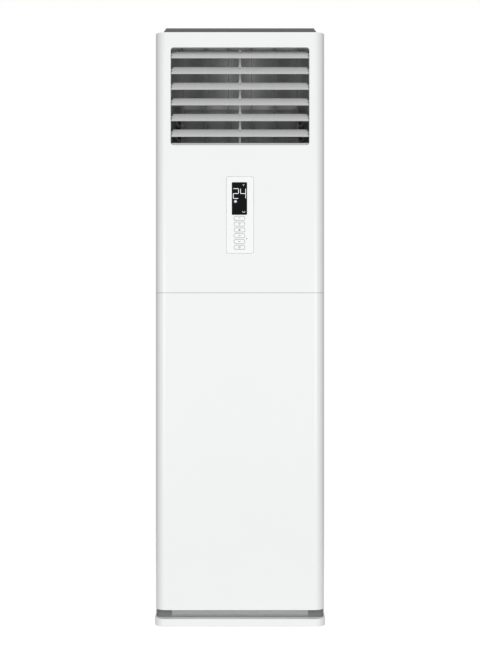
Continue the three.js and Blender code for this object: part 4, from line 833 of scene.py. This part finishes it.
def make_plinth():
    x, y, z = span_of("base_plinth")
    hollows = []
    for side_x in (-1, 1):
        for side_y in (-1, 1):
            u = sorted((side_x * PLINTH_RIB / 2, side_x * (x[1] - PLINTH_RIM)))
            v = sorted((side_y * PLINTH_RIB / 2, side_y * (y[1] - PLINTH_RIM)))
            hollows.append(Maker().prism(rounded(u, v, 6), (-BEYOND, z[1] - PLINTH_SKIN)))
    body = Maker().prism(plan(x[1], y[0], y[1], CORNER), z).carve(*hollows)

    def edge(middle):
        return PLINTH_EDGES[0] if middle.z > z[1] - 1 else PLINTH_EDGES[1]

    finish(body, "plinth_moulding", "white_plastic", "base_plinth", edge, segments=4)


def make_toe():
    """The chassis in its dark primer, its wrapped skirt, and the painted plate in the middle of its toe."""
    dress("chassis_frame", "toe_primer")
    front = span_of("chassis_frame")[1][0]
    z = (span_of("base_plinth")[2][1] + FIT, PANEL_BOTTOM - SKIRT_GAP)
    outside = plan(SKIRT_HALF, front - FIT, SKIRT_REAR, SKIRT_CORNER)
    within = plan(SKIRT_HALF - SKIRT_SHEET, front - FIT + SKIRT_SHEET, SKIRT_REAR,
                  [v - SKIRT_SHEET for v in SKIRT_CORNER])
    skirt = Maker().prism(outside + within[::-1], z)
    trim(skirt, "toe_skirt", "toe_primer", "chassis_frame", "toe_steel")
    face = rounded((-TOE_PLATE, TOE_PLATE), z, 1.5)
    plate = Maker().prism(face, (front - FIT - TOE_PLATE_PROUD, front), "y")
    finish(plate, "toe_plate", "toe_steel", "chassis_frame", FINE_EDGE, stands_in=False)


def trapezium(x, z, slant):
    """A cap's outline from the front, each end leaning in by a slant."""
    return [(x[0], z[0]), (x[1], z[0]), (x[1] - slant, z[1]), (x[0] + slant, z[1])]


def make_cap():
    x, y, z = span_of("top_cap")
    inner = trapezium(grown(x, -CAP_WALL), grown(z, -CAP_WALL), CAP_SLANT + 1)
    cap = Maker().prism(trapezium(x, z, CAP_SLANT), y, "y")
    cap.carve(Maker().prism(inner, grown(y, -CAP_WALL), "y"))
    pitch, width, depth = CAP_FLUTE
    flutes = []
    for i in range(CAP_FLUTES):
        middle = (i - (CAP_FLUTES - 1) / 2) * pitch
        flute = Maker().block(around(middle, width), grown(y, -CAP_FLUTE_INSET), (z[1] - depth, z[1] + 2))
        flutes.append(flute)

    def edge(middle):
        return 1.0 if middle.z > z[1] - 0.5 and not y[0] + 20 < middle.y < y[1] - 20 else 0.5

    finish(cap.carve(*flutes), "cap_moulding", "cap_plastic", "top_cap", edge, segments=4)


# ------ casings and lining

SCREW_HEAD = (4.2, 2.2)  # radius and height
SCREW_RIM = 0.9
SCREW_CROSS = (3.6, 0.9, 1.0)  # length, width and depth of the recess's arms
REAR_HOLE_SIDE = 51.0  # from the cabinet's side
PIPE_HOLE = ((HALF - REAR_HOLE_SIDE, PANEL_BOTTOM + 66), 34.0)  # place and radius
HOSE_HOLE = ((REAR_HOLE_SIDE - HALF, PANEL_BOTTOM + 50), 12.0)
SWAGES = 6
SWAGE_FIRST = 240.0  # over the rear panel's bottom
SWAGE_PITCH = 250.0
SWAGE = (380.0, 16.0, 8.0)  # width, height and corner radius
SWAGE_DEPTHS = (0.6, 1.2)  # from the sheet's front face inwards, and from its rear face outwards
SCREW_ROWS = 7
SCREW_INSETS = (10.0, 20.0, 12.0)  # of the side rows, from the sheet's side and ends, and of the end rows
END_SCREW_X = 80.0


def screw_heads(places, face):
    """Pan-head screws with a cross recess, their heads standing out behind a sheet's rear face."""
    radius, height = SCREW_HEAD
    length, width, depth = SCREW_CROSS
    tip = face + height
    rim = [(AXIS, face), (radius, face), (radius, face + SCREW_RIM)]
    profile = rim + [(3.3, tip - 0.5), (2.0, tip), (AXIS, tip)]
    heads = Maker()
    for x, z in places:
        cross = [Maker().prism(rectangle(around(x, u), around(z, v)), (tip - depth, tip + 1), "y")
                 for u, v in ((length, width), (width, length))]
        heads.merged(Maker().lathe(profile, (x, z), 24).carve(*cross))
    return heads


def make_rear_panel():
    x, y, z = span_of("rear_panel")
    sheet = Maker().prism(rectangle(x, z), y, "y", [circle(*PIPE_HOLE, 48), circle(*HOSE_HOLE, 32)])
    swages = []
    for i in range(SWAGES):
        height = z[0] + SWAGE_FIRST + i * SWAGE_PITCH
        band = rounded(around(0, SWAGE[0]), around(height, SWAGE[1]), SWAGE[2], 8)
        swages.append(Maker().prism(band, (y[0] + SWAGE_DEPTHS[0], y[1] + SWAGE_DEPTHS[1]), "y"))
    finish(sheet.joined(*swages), "rear_sheet", "white_steel", "rear_panel", segments=3)
    side_inset, row_inset, end_inset = SCREW_INSETS
    low, high = grown(z, -row_inset)
    places = []
    for side in (-1, 1):
        for i in range(SCREW_ROWS):
            places.append((side * (x[1] - side_inset), low + i * (high - low) / (SCREW_ROWS - 1)))
    places += [(u, v) for u in (-END_SCREW_X, END_SCREW_X) for v in grown(z, -end_inset)]
    trim(screw_heads(places, y[1]), "rear_screws", "zinc_steel", "rear_panel")


def make_casings():
    for node in ("side_casing_left", "side_casing_right", "top_plate"):
        dress(node, "white_steel", 0.5)
    make_rear_panel()
    for node in ("cross_rail", "wall_bracket", "mid_deck", "plenum_plate",
                 "electric_box", "electric_box_cover"):
        dress(node, "zinc_steel", 0.3)
    dress("foam_liner", "foam", 0.8)
    dress("terminal_block", "duct_plastic", 0.3)
    dress("display_board", "circuit_board", 0.15)


# ------ intakes

SLAT_PITCH = 12.5
SLAT_SLOPE = 4.0  # how far a slat drops from its inner to its outer edge
SLAT_HEIGHT = 4.8
SLAT_INSETS = (0.2, 0.3)  # behind the frame's inner and outer face
GRILLE_BORDER = 16.0
GRILLE_COLUMNS = 3
MULLION = 3.0
FILTER_GRID = (2, 4)  # columns and rows of windows
FILTER_RIM = 6.0
FILTER_RIB = 4.0
NET_THICKNESS = 0.8


def outward(x, sign):
    """A span along X, as it would be on the cabinet's right."""
    return x if sign > 0 else (-x[1], -x[0])


def make_grille(side, sign):
    """A moulded frame with sloping slats between two mullions."""
    x, y, z = span_of("intake_grille_" + side)
    x = outward(x, sign)
    field_y = grown(y, -GRILLE_BORDER)
    field_z = grown(z, -GRILLE_BORDER)
    grille = Maker().prism(rounded(y, z, 6), x, "x", [rectangle(field_y, field_z)])
    rows = int((field_z[1] - field_z[0]) / SLAT_PITCH)
    inner, outer = x[0] + SLAT_INSETS[0], x[1] - SLAT_INSETS[1]
    for i in range(rows + 1):
        low, high = around(field_z[0] + i * (field_z[1] - field_z[0]) / rows, SLAT_HEIGHT)
        drop = SLAT_SLOPE / 2
        slat = [(inner, low + drop), (outer, low - drop), (outer, high - drop), (inner, high + drop)]
        grille.merged(Maker().prism(slat, grown(field_y, 1), "y"))
    for i in range(1, GRILLE_COLUMNS):
        middle = field_y[0] + i * (field_y[1] - field_y[0]) / GRILLE_COLUMNS
        mullion = rectangle(around(middle, MULLION), grown(field_z, 1))
        grille.merged(Maker().prism(mullion, (inner, outer), "x"))
    finish(grille.sided(sign), "grille_" + side, "white_plastic", "intake_grille_" + side)


def make_filter(side, sign):
    """A net held in a ribbed frame."""
    node = "air_filter_" + side
    x, y, z = span_of(node)
    x = outward(x, sign)
    columns, rows = FILTER_GRID
    width = (y[1] - y[0] - 2 * FILTER_RIM - FILTER_RIB * (columns - 1)) / columns
    height = (z[1] - z[0] - 2 * FILTER_RIM - FILTER_RIB * (rows - 1)) / rows
    windows = []
    for i in range(columns):
        for j in range(rows):
            u = y[0] + FILTER_RIM + i * (width + FILTER_RIB)
            v = z[0] + FILTER_RIM + j * (height + FILTER_RIB)
            windows.append(rounded((u, u + width), (v, v + height), 3))
    rim = Maker().prism(rounded(y, z, 4), x, "x", windows)
    finish(rim.sided(sign), "filter_frame_" + side, "duct_plastic", node, FINE_EDGE, slot="filter_mesh")
    net = Maker().prism(rectangle(grown(y, -3), grown(z, -3)), around(sum(x) / 2, NET_THICKNESS), "x")
    finish(net.sided(sign), "filter_net_" + side, "filter_mesh", node, edge=0)


# ------ outlet

LOUVERS = 6
LOUVER = (21.0, 19.0, 2.4)  # axis to front edge, axis to rear edge, thickness
LOUVER_CAMBER = 2.0
LOUVER_TAPER = 0.45  # share of the thickness lost at the two edges
LOUVER_TILT = math.radians(40)  # front edge down
LOUVER_HALF = 201.0
LOUVER_CORNER = (5.0, 36.0)  # the rear corners' slant, across and along the end
PIVOT = (2.1, 6.0, 7.0)  # radius of a louver's pivot pin, its length inside the blade and outside it
CRANK = 17.0  # louver's axis to link pin
CRANK_PIN = 1.5
PIN_SLACK = 0.35
EAR = (3.6, 1.3, 4.0)  # inner face, width and height
LOUVER_NOTCH = 16.0
VANES = 6
VANE = (25.0, 20.0, 1.8)
VANE_CRANK = 20.0
VANE_NOTCH = (8.0, 12.0, 0.6)  # width, depth, and gap over and under the link
VANE_INSET = 4.0  # from a pivot pin's end to the blade
VANE_PIVOT = (2.0, 10.0)  # radius and length


def blade_section(size, camber=0.0, taper=0.0, stations=14):
    """A blade across its pivot: bowed upwards, thinner at its edges, with round noses."""
    front, rear, thickness = size
    half = (front + rear) / 2
    centre = (rear - front) / 2
    reach = half - thickness / 2

    def bow(place):
        return camber * ((centre / half) ** 2 - ((place - centre) / half) ** 2)

    def depth(place):
        return thickness / 2 * (1 - taper * abs((place - centre) / half) ** 3)

    places = [centre + reach * (2 * i / stations - 1) for i in range(stations + 1)]
    lower = [(p, bow(p) - depth(p)) for p in places]
    upper = [(p, bow(p) + depth(p)) for p in reversed(places)]
    rear_nose, front_nose = [arc((p, bow(p)), depth(p), start, start + 180, 6)[1:-1]
                             for p, start in ((places[-1], -90), (places[0], 90))]
    return lower + rear_nose + upper + front_nose


def louver_blade():
    """One louver, level, with its pivot on the X axis."""
    section = blade_section(LOUVER, LOUVER_CAMBER, LOUVER_TAPER)
    blade = Maker().prism(section, around(0, 2 * LOUVER_HALF), "x")
    rear = LOUVER[1]
    across, along = LOUVER_CORNER
    inner, width, height = EAR
    pin, root, reach = PIVOT
    tall = (-20, 20)
    cutters = []
    extras = []
    for side in (-1, 1):
        wedge = [(side * LOUVER_HALF, rear - along), (side * (LOUVER_HALF + 2), rear - along),
                 (side * (LOUVER_HALF + 2), rear + 1), (side * (LOUVER_HALF - across), rear + 1)]
        cutters.append(Maker().prism(wedge, tall))
        ear = rounded((rear - LOUVER_NOTCH, CRANK + height / 2), around(0, height), 2)
        extras.append(Maker().prism(ear, sorted((side * inner, side * (inner + width))), "x"))
        pivot = sorted((side * (LOUVER_HALF - root), side * (LOUVER_HALF + reach)))
        extras.append(Maker().rod(pin, pivot, (0, 0), "x", 20))
    cutters.append(Maker().block(around(0, 2 * inner), (rear - LOUVER_NOTCH, rear + 1), tall))
    extras.append(Maker().rod(CRANK_PIN, around(0, 2 * inner + 2), (CRANK, 0), "x", 16))
    return blade.carve(*cutters).joined(*extras)


def make_louvers():
    pattern = louver_blade()
    tilt = Matrix.Rotation(LOUVER_TILT, 4, "X")
    x, y, z = span_of("louver_link")
    holes = []
    for i in range(1, LOUVERS + 1):
        _, *axis = joint_point("louver_%d_swing" % i)
        blade = pattern.copied().placed(Matrix.Translation(Vector((0, *axis)) * MM) @ tilt)
        finish(blade, "louver_blade_%d" % i, "louver_plastic", "louver_%d" % i, 0.25)
        pin = (axis[0] + CRANK * math.cos(LOUVER_TILT), axis[1] + CRANK * math.sin(LOUVER_TILT))
        holes.append(circle(pin, CRANK_PIN + PIN_SLACK, 20))
    bar = Maker().prism(rounded(y, z, 1.5), x, "x", holes)
    finish(bar, "louver_bar", "link_grey", "louver_link", 0.3, slot="louver_plastic")


def make_vanes():
    link_x, link_y, link_z = span_of("vane_link")
    notch_width, notch_depth, notch_gap = VANE_NOTCH
    notch_z = grown(link_z, notch_gap)
    radius, length = VANE_PIVOT
    section = [(across, along) for along, across in blade_section(VANE)]
    holes = []
    for i in range(1, VANES + 1):
        node = "vane_%d" % i
        _, (front, _), (low, high) = span_of(node)
        x, y, _ = joint_point(node + "_swing")
        blade = Maker().prism([(x + u, y + v) for u, v in section], (low + VANE_INSET, high - VANE_INSET))
        blade.carve(Maker().block(around(x, notch_width), (front - 1, front + notch_depth), notch_z))
        ends = ((low, low + length), (high - length, high))
        pins = [Maker().rod(radius, span, (x, y), "z", 20) for span in ends]
        crank = (x, y - VANE_CRANK)
        pins.append(Maker().rod(CRANK_PIN, grown(notch_z, 2), crank, "z", 16))
        finish(blade.joined(*pins), "vane_blade_%d" % i, "duct_plastic", node, 0.2)
        holes.append(circle(crank, CRANK_PIN + PIN_SLACK, 20))
    bar = Maker().prism(rounded(link_x, link_y, 2), link_z, "z", holes)
    finish(bar, "vane_bar", "duct_plastic", "vane_link", FINE_EDGE)


# ------ controls

WINDOW = (44.0, 94.5, 2.5)  # width, height and corner radius
WINDOW_LIFT = 1.3  # from the middle of the window's flange to the middle of the glass
WINDOW_X, WINDOW_Z = front_middle("display_window")
WINDOW_AT = (WINDOW_X, WINDOW_Z + WINDOW_LIFT)
BUTTONS = 6
BUTTON = (30.0, 10.5, 4.0)
BUTTON_FLANGE = 1.4
FASCIA_BACK = 1.5  # thickness of the fascia's flange
RIM = (0.7, 0.9)  # distance from a button and width of the line printed round it
PRINT = 0.3  # depth of a mark's mesh, most of it inside what it lies on
DIGIT = (15.2, 28.6, 1.8)  # width, height and stroke
DIGITS_AT = ((-10.4, 14.5), (10.6, 14.5))  # these and the signs, from the middle of the window
SIGNAL_AT = (11.8, 38.5)
SUN_AT = (-11.5, -8.5)
MOON_AT = (12.4, -36.5)
LENS_AT = (FASCIA_X[1] - 20, FASCIA_Z[0] + 43)  # of the small dark lens beside the buttons
LENS_PROFILE = [(AXIS, -0.05), (1.3, -0.05), (1.6, 0.25), (1.6, 3.0), (AXIS, 3.0)]
SEGMENTS = {
    0: "abcdef", 1: "bc", 2: "abged", 3: "abgcd", 4: "fgbc",
    5: "afgcd", 6: "afgedc", 7: "abc", 8: "abcdefg", 9: "abcdfg",
}


def shifted(place, by):
    return (place[0] + by[0], place[1] + by[1])


def stroke(start, end, width, rounds=6):
    """The outline of a bar with round ends between two points."""
    angle = math.degrees(math.atan2(end[1] - start[1], end[0] - start[0]))
    return arc(end, width / 2, angle - 90, angle + 90, rounds) + arc(
        start, width / 2, angle + 90, angle + 270, rounds)


def ring_sector(centre, outer, inner, start, end, steps):
    return arc(centre, outer, start, end, steps) + arc(centre, inner, end, start, steps)


def digit_outlines(number, at):
    """The lit bars of one seven-segment digit."""
    width, height, thick = DIGIT
    gap = thick * 0.62
    left, right = around(at[0], width)
    low, high = around(at[1], height)
    level = {"a": high, "g": at[1], "d": low}
    upright = {"e": (left, low), "c": (right, low), "f": (left, at[1]), "b": (right, at[1])}
    bars = {key: ((left + gap, z), (right - gap, z)) for key, z in level.items()}
    bars.update({key: ((x, z + gap), (x, z + height / 2 - gap)) for key, (x, z) in upright.items()})
    return [stroke(*bars[key], thick) for key in SEGMENTS[number]]


def symbol_outlines(index, at):
    """Plain marks for the buttons, from the top one down: bar, fan, cross, up, down and power."""

    def bars(*pairs, width=1.1):
        return [stroke(shifted(at, pair[:2]), shifted(at, pair[2:]), width) for pair in pairs]

    if index == 1:
        return bars((-3.4, 1.2, 3.4, 1.2), width=1.0)
    if index == 2:
        blades = []
        for turn in (0.5, 2.6, 4.7):
            middle = shifted(at, (1.7 * math.cos(turn), 1.7 * math.sin(turn)))
            start = math.degrees(turn) - 100
            blades.append(ring_sector(middle, 1.7, 0.4, start, start + 180, 8))
        return [*blades, circle(at, 0.6, 10)]
    if index == 3:
        return [*bars((-2.6, -2, 2.6, 2), (-2.6, 2, 2.6, -2), width=1.2), circle(at, 1.4, 12)]
    if index in (4, 5):
        lift = 1.3 if index == 4 else -1.3
        return bars((-2.8, -lift, 0, lift), (0, lift, 2.8, -lift))
    return [ring_sector(at, 3.0, 2.0, 125, 415, 20), *bars((0, 0.6, 0, 3.4), width=1.0)]


def raised_marks(outlines, front):
    marks = Maker()
    for outline in outlines:
        marks.prism(outline, (front, front + PRINT), "y")
    return marks


def make_fascia():
    x, y, z = FASCIA
    holes = [tablet(WINDOW_AT, WINDOW, FIT)]
    holes += [tablet(front_middle("button_%d" % i), BUTTON, FIT) for i in range(1, BUTTONS + 1)]
    face = rounded(FASCIA_X, FASCIA_Z, FASCIA_RADIUS)
    flange = Maker().prism(rounded(x, z, 9), (y[1] - FASCIA_BACK, y[1]), "y", [face])
    plate = Maker().prism(face, y, "y", holes).joined(flange)

    def edge(middle):
        if middle.y >= y[0] + 0.5:
            return 0.2
        return 0.5 if inside(FASCIA_X, FASCIA_Z, middle, -3) else 0.9

    finish(plate, "fascia_plate", "fascia_plastic", "control_fascia", edge, segments=3)
    glass = Maker().prism(tablet(WINDOW_AT, WINDOW), span_of("display_window")[1], "y")
    finish(glass, "display_glass", "display_black", "display_window", segments=3)


def make_display(look):
    outlines = []
    for number, at in zip(divmod(look.setting, 10), DIGITS_AT):
        outlines += digit_outlines(number, shifted(WINDOW_AT, at))
    signal, sun, moon = [shifted(WINDOW_AT, at) for at in (SIGNAL_AT, SUN_AT, MOON_AT)]
    outlines += [circle(signal, 0.9, 12), ring_sector(signal, 3.4, 2.5, 30, 150, 12), circle(sun, 2.9, 24)]
    for u, v in circle((0, 0), 1, 8):
        outlines.append(stroke(shifted(sun, (3.9 * u, 3.9 * v)), shifted(sun, (4.7 * u, 4.7 * v)), 0.8, 3))
    outlines.append(ring_sector(moon, 4.4, 3.2, 190, 350, 20))
    marks = raised_marks(outlines, span_of("display_window")[1][0] - 0.08)
    trim(marks, "display_marks", "lit_segment", "display_window", "display_black")


def make_buttons():
    front = FASCIA[1][0]
    inner, width = RIM
    rims = Maker()
    for i in range(1, BUTTONS + 1):
        node = "button_%d" % i
        x, y, z = span_of(node)
        at = front_middle(node)
        cap = Maker().prism(tablet(at, BUTTON), (y[0] + 0.08, y[1]), "y")
        flange = Maker().prism(rounded(x, z, 4.5), (y[1] - BUTTON_FLANGE, y[1]), "y")
        finish(cap.joined(flange), "button_cap_%d" % i, "fascia_plastic", node, 0.7, segments=4)
        marks = raised_marks(symbol_outlines(i, at), y[0])
        trim(marks, "button_mark_%d" % i, "printed_ink", node, "fascia_plastic")
        outer = tablet(at, BUTTON, inner + width)
        rims.prism(outer, (front - 0.05, front + 0.2), "y", [tablet(at, BUTTON, inner)])
    trim(rims, "button_rims", "rim_ink", "control_fascia", "fascia_plastic")
    lens = Maker().lathe([(radius, FACE - 0.5 + y) for radius, y in LENS_PROFILE], LENS_AT, 24)
    trim(lens, "receiver_lens", "display_black", "control_fascia")


# ------ coil

COIL = (352.0, 44.0, 660.0)  # length between the plates, depth and height
FIN_PITCH = 1.8
FIN = 0.4
FIN_REACH = (5.0, 2.0)  # how much deeper and higher the fins are than the core between them
RAIL_HEIGHT = 12.0  # of the folded rail along the coil's top
RAIL_SHEET = 0.6
RAIL_LAP = 0.4  # how far the rail reaches into the fins
PLATE = 1.2
PLATE_LIP = 3.4
PLATE_MARGIN = 1.0  # how much deeper and higher the end plates are than the fins
BEND_PITCH = 50.8
BEND = 12.5
BEND_STRAIGHT = 6.0
TUBE = 4.8
TUBE_ROWS = (-11.0, 11.0)


def coil_place():
    """The matrix that leans the coil back and sets it in the cabinet."""
    _, y, z = span_of("evaporator_fins")
    _, depth, height = COIL
    lean = math.asin((height * (y[1] - y[0]) - depth * (z[1] - z[0])) / (height ** 2 + depth ** 2))
    return Matrix.Translation(Vector((0, sum(y) / 2, sum(z) / 2)) * MM) @ Matrix.Rotation(-lean, 4, "X")


def make_fins():
    length, depth, height = COIL
    core = Maker().block(around(0, length), around(0, depth - FIN_REACH[0]), around(0, height - FIN_REACH[1]))
    count = int(length / FIN_PITCH)
    for i in range(count + 1):
        x = -length / 2 + i * length / count
        core.merged(Maker().block(around(x, FIN), around(0, depth), around(0, height)))
    finish(core.placed(coil_place()), "coil_fins", "fin_aluminium", "evaporator_fins", edge=0)
    front, rear = around(0, depth)
    top = height / 2
    rail = Maker().block(around(0, length), (front - RAIL_SHEET, front + RAIL_LAP), (top - RAIL_HEIGHT, top))
    rail.merged(Maker().block(around(0, length), (front - RAIL_SHEET, rear), (top, top + RAIL_SHEET)))
    finish(rail.placed(coil_place()), "coil_rail", "coil_sheet", "evaporator_fins", 0.2,
           slot="zinc_steel", stands_in=False)


def make_coil_end(side, sign):
    """The plate at one end of the coil, and the return bends brazed into it."""
    _, depth, height = COIL
    node = "coil_end_plate_" + side
    start = span_of("coil_end_plate_right")[0][0]
    y, z = around(0, depth + PLATE_MARGIN), around(0, height + PLATE_MARGIN)
    plate = Maker().block((start, start + PLATE), y, z)
    for lip in ((y[0], y[0] + PLATE), (y[1] - PLATE, y[1])):
        plate.merged(Maker().block((start, start + PLATE_LIP), lip, z))
    bends = Maker()
    count = int((height - 2 * BEND) / BEND_PITCH)
    root = start + RAIL_LAP
    for row in TUBE_ROWS:
        for i in range(count):
            middle = (i - (count - 1) / 2) * BEND_PITCH
            turn = arc((start + PLATE + BEND_STRAIGHT, middle), BEND, -90, 90, 14)
            path = [(x, row, z) for x, z in [(root, middle - BEND), *turn, (root, middle + BEND)]]
            bends.merged(Maker().tube(path, TUBE, 14))
    for item, name, surface in ((plate, "coil_plate_", "coil_sheet"), (bends, "coil_bends_", "bend_lacquer")):
        finish(item.sided(sign).placed(coil_place()), name + side, surface, node, edge=0, slot="copper_tube")


# ------ stage

STANDOFF = 4000.0  # camera to the front panels
CAMERA_HEIGHT = 869.0
LENS = 75.5
FLOOR_REACH = 1900.0
FLOOR_FADE = 1500.0  # width of the rim over which the floor fades into the backdrop
FLOOR_DEPTH = 40.0
FLOOR_GLOW = 0.5  # a product photographer's table, lit from below
AMBIENT = 0.29
WHITE = (1, 1, 1, 1)
SUN_SOFTNESS = 30.0  # how wide the suns look, in degrees
SUNS = {  # angle off the front and height over the horizon, in degrees, and strength
    "key_light": (0.0, 30.0, 1.1),
    "back_left": (-150.0, 35.0, 0.4),
    "back_right": (150.0, 35.0, 0.4),
}
BOX_AT = (1800.0, -3900.0, 850.0)  # of the right-hand softbox
BOX_SIZE = (800.0, 1400.0)
BOX_POWER = 41.0


def put(name, data, place, turn):
    """Puts a camera or a light into the scene, turned by angles in degrees."""
    made = bpy.data.objects.new(name, data)
    made.location = Vector(place) * MM
    made.rotation_euler = [math.radians(v) for v in turn]
    bpy.context.scene.collection.objects.link(made)
    return made


def add_floor():
    """A pale disc that fades into the backdrop, and neither lights nor shades the cabinet."""
    floor = Maker().prism(circle((0, 0), FLOOR_REACH, 96), (-FLOOR_DEPTH, -0.01)).raw("studio_floor")
    graph = Graph("floor_paint", roughness=0.9, emission_color=WHITE, emission_strength=FLOOR_GLOW)
    graph.colour((0.92, 0.92, 0.92), 0.004, 3.0)
    place = graph.split()
    reach = (place["X"] ** 2 + place["Y"] ** 2) ** 0.5
    graph.wire("Alpha", ((FLOOR_REACH * MM - reach) / (FLOOR_FADE * MM)).clamped())
    floor.data.materials.append(graph.material)
    floor.visible_diffuse = False
    floor.visible_shadow = False
    floor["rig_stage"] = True


def add_world():
    """An even, weak surround that the camera sees as plain white."""
    world = bpy.data.worlds.new("studio")
    world.use_nodes = True
    tree = world.node_tree
    ambient = tree.nodes["Background"]
    backdrop = tree.nodes.new("ShaderNodeBackground")
    for background, strength in ((ambient, AMBIENT), (backdrop, 1.0)):
        background.inputs["Strength"].default_value = strength
        background.inputs["Color"].default_value = WHITE
    seen = tree.nodes.new("ShaderNodeMixShader")
    tree.links.new(tree.nodes.new("ShaderNodeLightPath").outputs["Is Camera Ray"], seen.inputs[0])
    tree.links.new(ambient.outputs[0], seen.inputs[1])
    tree.links.new(backdrop.outputs[0], seen.inputs[2])
    tree.links.new(seen.outputs[0], tree.nodes["World Output"].inputs["Surface"])
    bpy.context.scene.world = world


def add_lights():
    """Three broad suns, and a softbox at the camera's height on either side."""
    for name, (aside, height, strength) in SUNS.items():
        lamp = bpy.data.lights.new(name, "SUN")
        lamp.energy = strength
        lamp.angle = math.radians(SUN_SOFTNESS)
        put(name, lamp, (0, 0, 0), (90 - height, 0, aside))
    x, y, z = BOX_AT
    for side, sign in SIDES:
        lamp = bpy.data.lights.new("softbox_" + side, "AREA")
        lamp.shape = "RECTANGLE"
        lamp.size, lamp.size_y = [v * MM for v in BOX_SIZE]
        lamp.energy = BOX_POWER
        put(lamp.name, lamp, (sign * x, y, z), (90, 0, math.degrees(math.atan2(sign * x, -y))))


# ------ operators


class Stage(bpy.types.Operator):
    """Sets the camera, the studio lights and the pale floor"""

    bl_idname = "cabinet.stage"
    bl_label = "Stage"

    def execute(self, context):
        data = bpy.data.cameras.new("camera")
        data.lens = LENS
        data.clip_end = 100
        context.scene.camera = put("camera", data, (0, FACE - STANDOFF, CAMERA_HEIGHT), (90, 0, 0))
        context.scene.view_settings.view_transform = "Standard"
        add_floor()
        add_world()
        add_lights()
        return {"FINISHED"}


class FrontPanels(bpy.types.Operator):
    """Builds the two front panels"""

    bl_idname = "cabinet.front"
    bl_label = "Front panels"

    def execute(self, context):
        make_upper_panel(context.scene.cabinet_look)
        make_lower_panel(context.scene.cabinet_look)
        return {"FINISHED"}


class BaseAndTop(bpy.types.Operator):
    """Builds the plinth, the cap and the toe's skirt and plate, and finishes the chassis"""

    bl_idname = "cabinet.base_and_top"
    bl_label = "Plinth, toe and cap"

    def execute(self, context):
        make_plinth()
        make_cap()
        make_toe()
        return {"FINISHED"}


class Casings(bpy.types.Operator):
    """Builds the rear panel, and finishes the casings, lining, decks and electric parts"""

    bl_idname = "cabinet.casings"
    bl_label = "Casings and lining"

    def execute(self, context):
        make_casings()
        return {"FINISHED"}


class Intakes(bpy.types.Operator):
    """Builds the two intake grilles with their filters"""

    bl_idname = "cabinet.intakes"
    bl_label = "Intakes"

    def execute(self, context):
        for side, sign in SIDES:
            make_grille(side, sign)
            make_filter(side, sign)
        return {"FINISHED"}


class Outlet(bpy.types.Operator):
    """Builds the louvers and vanes with their links, and finishes their duct and motors"""

    bl_idname = "cabinet.outlet"
    bl_label = "Outlet"

    def execute(self, context):
        dress("outlet_frame", "duct_grey", 0.5)
        make_louvers()
        make_vanes()
        dress("louver_motor", "zinc_steel", 0.3)
        dress("vane_motor", "zinc_steel", 0.3)
        return {"FINISHED"}


class Controls(bpy.types.Operator):
    """Builds the fascia, the display and the buttons"""

    bl_idname = "cabinet.controls"
    bl_label = "Controls"

    def execute(self, context):
        make_fascia()
        make_display(context.scene.cabinet_look)
        make_buttons()
        return {"FINISHED"}


class Coil(bpy.types.Operator):
    """Builds the evaporator, and finishes its drain pan, pipes and hose"""

    bl_idname = "cabinet.coil"
    bl_label = "Coil and pipes"

    def execute(self, context):
        make_fins()
        for side, sign in SIDES:
            make_coil_end(side, sign)
        dress("drain_pan", "duct_plastic", 0.5)
        dress("suction_pipe", "pipe_sleeve", smooth=50)
        dress("liquid_pipe", "copper_tube", smooth=50)
        dress("drain_hose", "hose_rubber", smooth=40)
        return {"FINISHED"}


class Blower(bpy.types.Operator):
    """Finishes the blower and its motor"""

    bl_idname = "cabinet.blower"
    bl_label = "Blower"

    def execute(self, context):
        dress("blower_housing", "duct_plastic", smooth=30)
        dress("inlet_ring", "louver_plastic", smooth=40)
        dress("impeller", "louver_plastic", smooth=30)
        dress("motor_shaft", "fin_aluminium", smooth=50)
        dress("fan_motor", "zinc_steel", smooth=35)
        return {"FINISHED"}


STEPS = [Stage, FrontPanels, BaseAndTop, Casings, Intakes, Outlet, Controls, Coil, Blower]


class CabinetPanel(bpy.types.Panel):
    """Lists the looks and the building steps"""

    bl_idname = "VIEW3D_PT_cabinet"
    bl_label = "Air conditioner"
    bl_space_type = "VIEW_3D"
    bl_region_type = "UI"
    bl_category = "Air conditioner"

    def draw(self, context):
        for name in CabinetLook.__annotations__:
            self.layout.prop(context.scene.cabinet_look, name)
        for step in STEPS:
            self.layout.operator(step.bl_idname)


CLASSES = [CabinetLook, *STEPS, CabinetPanel]


def register():
    for item in CLASSES:
        bpy.utils.register_class(item)
    bpy.types.Scene.cabinet_look = PointerProperty(type=CabinetLook)


def unregister():
    del bpy.types.Scene.cabinet_look
    for item in reversed(CLASSES):
        bpy.utils.unregister_class(item)


def main():
    register()
    for step in STEPS:
        group, name = step.bl_idname.split(".")
        getattr(getattr(bpy.ops, group), name)()
    boxes = {"cad": CAD_BOX, "visual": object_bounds()}
    {key: [list(corner) for corner in box] for key, box in boxes.items()}


if __name__ == "__main__":
    main()
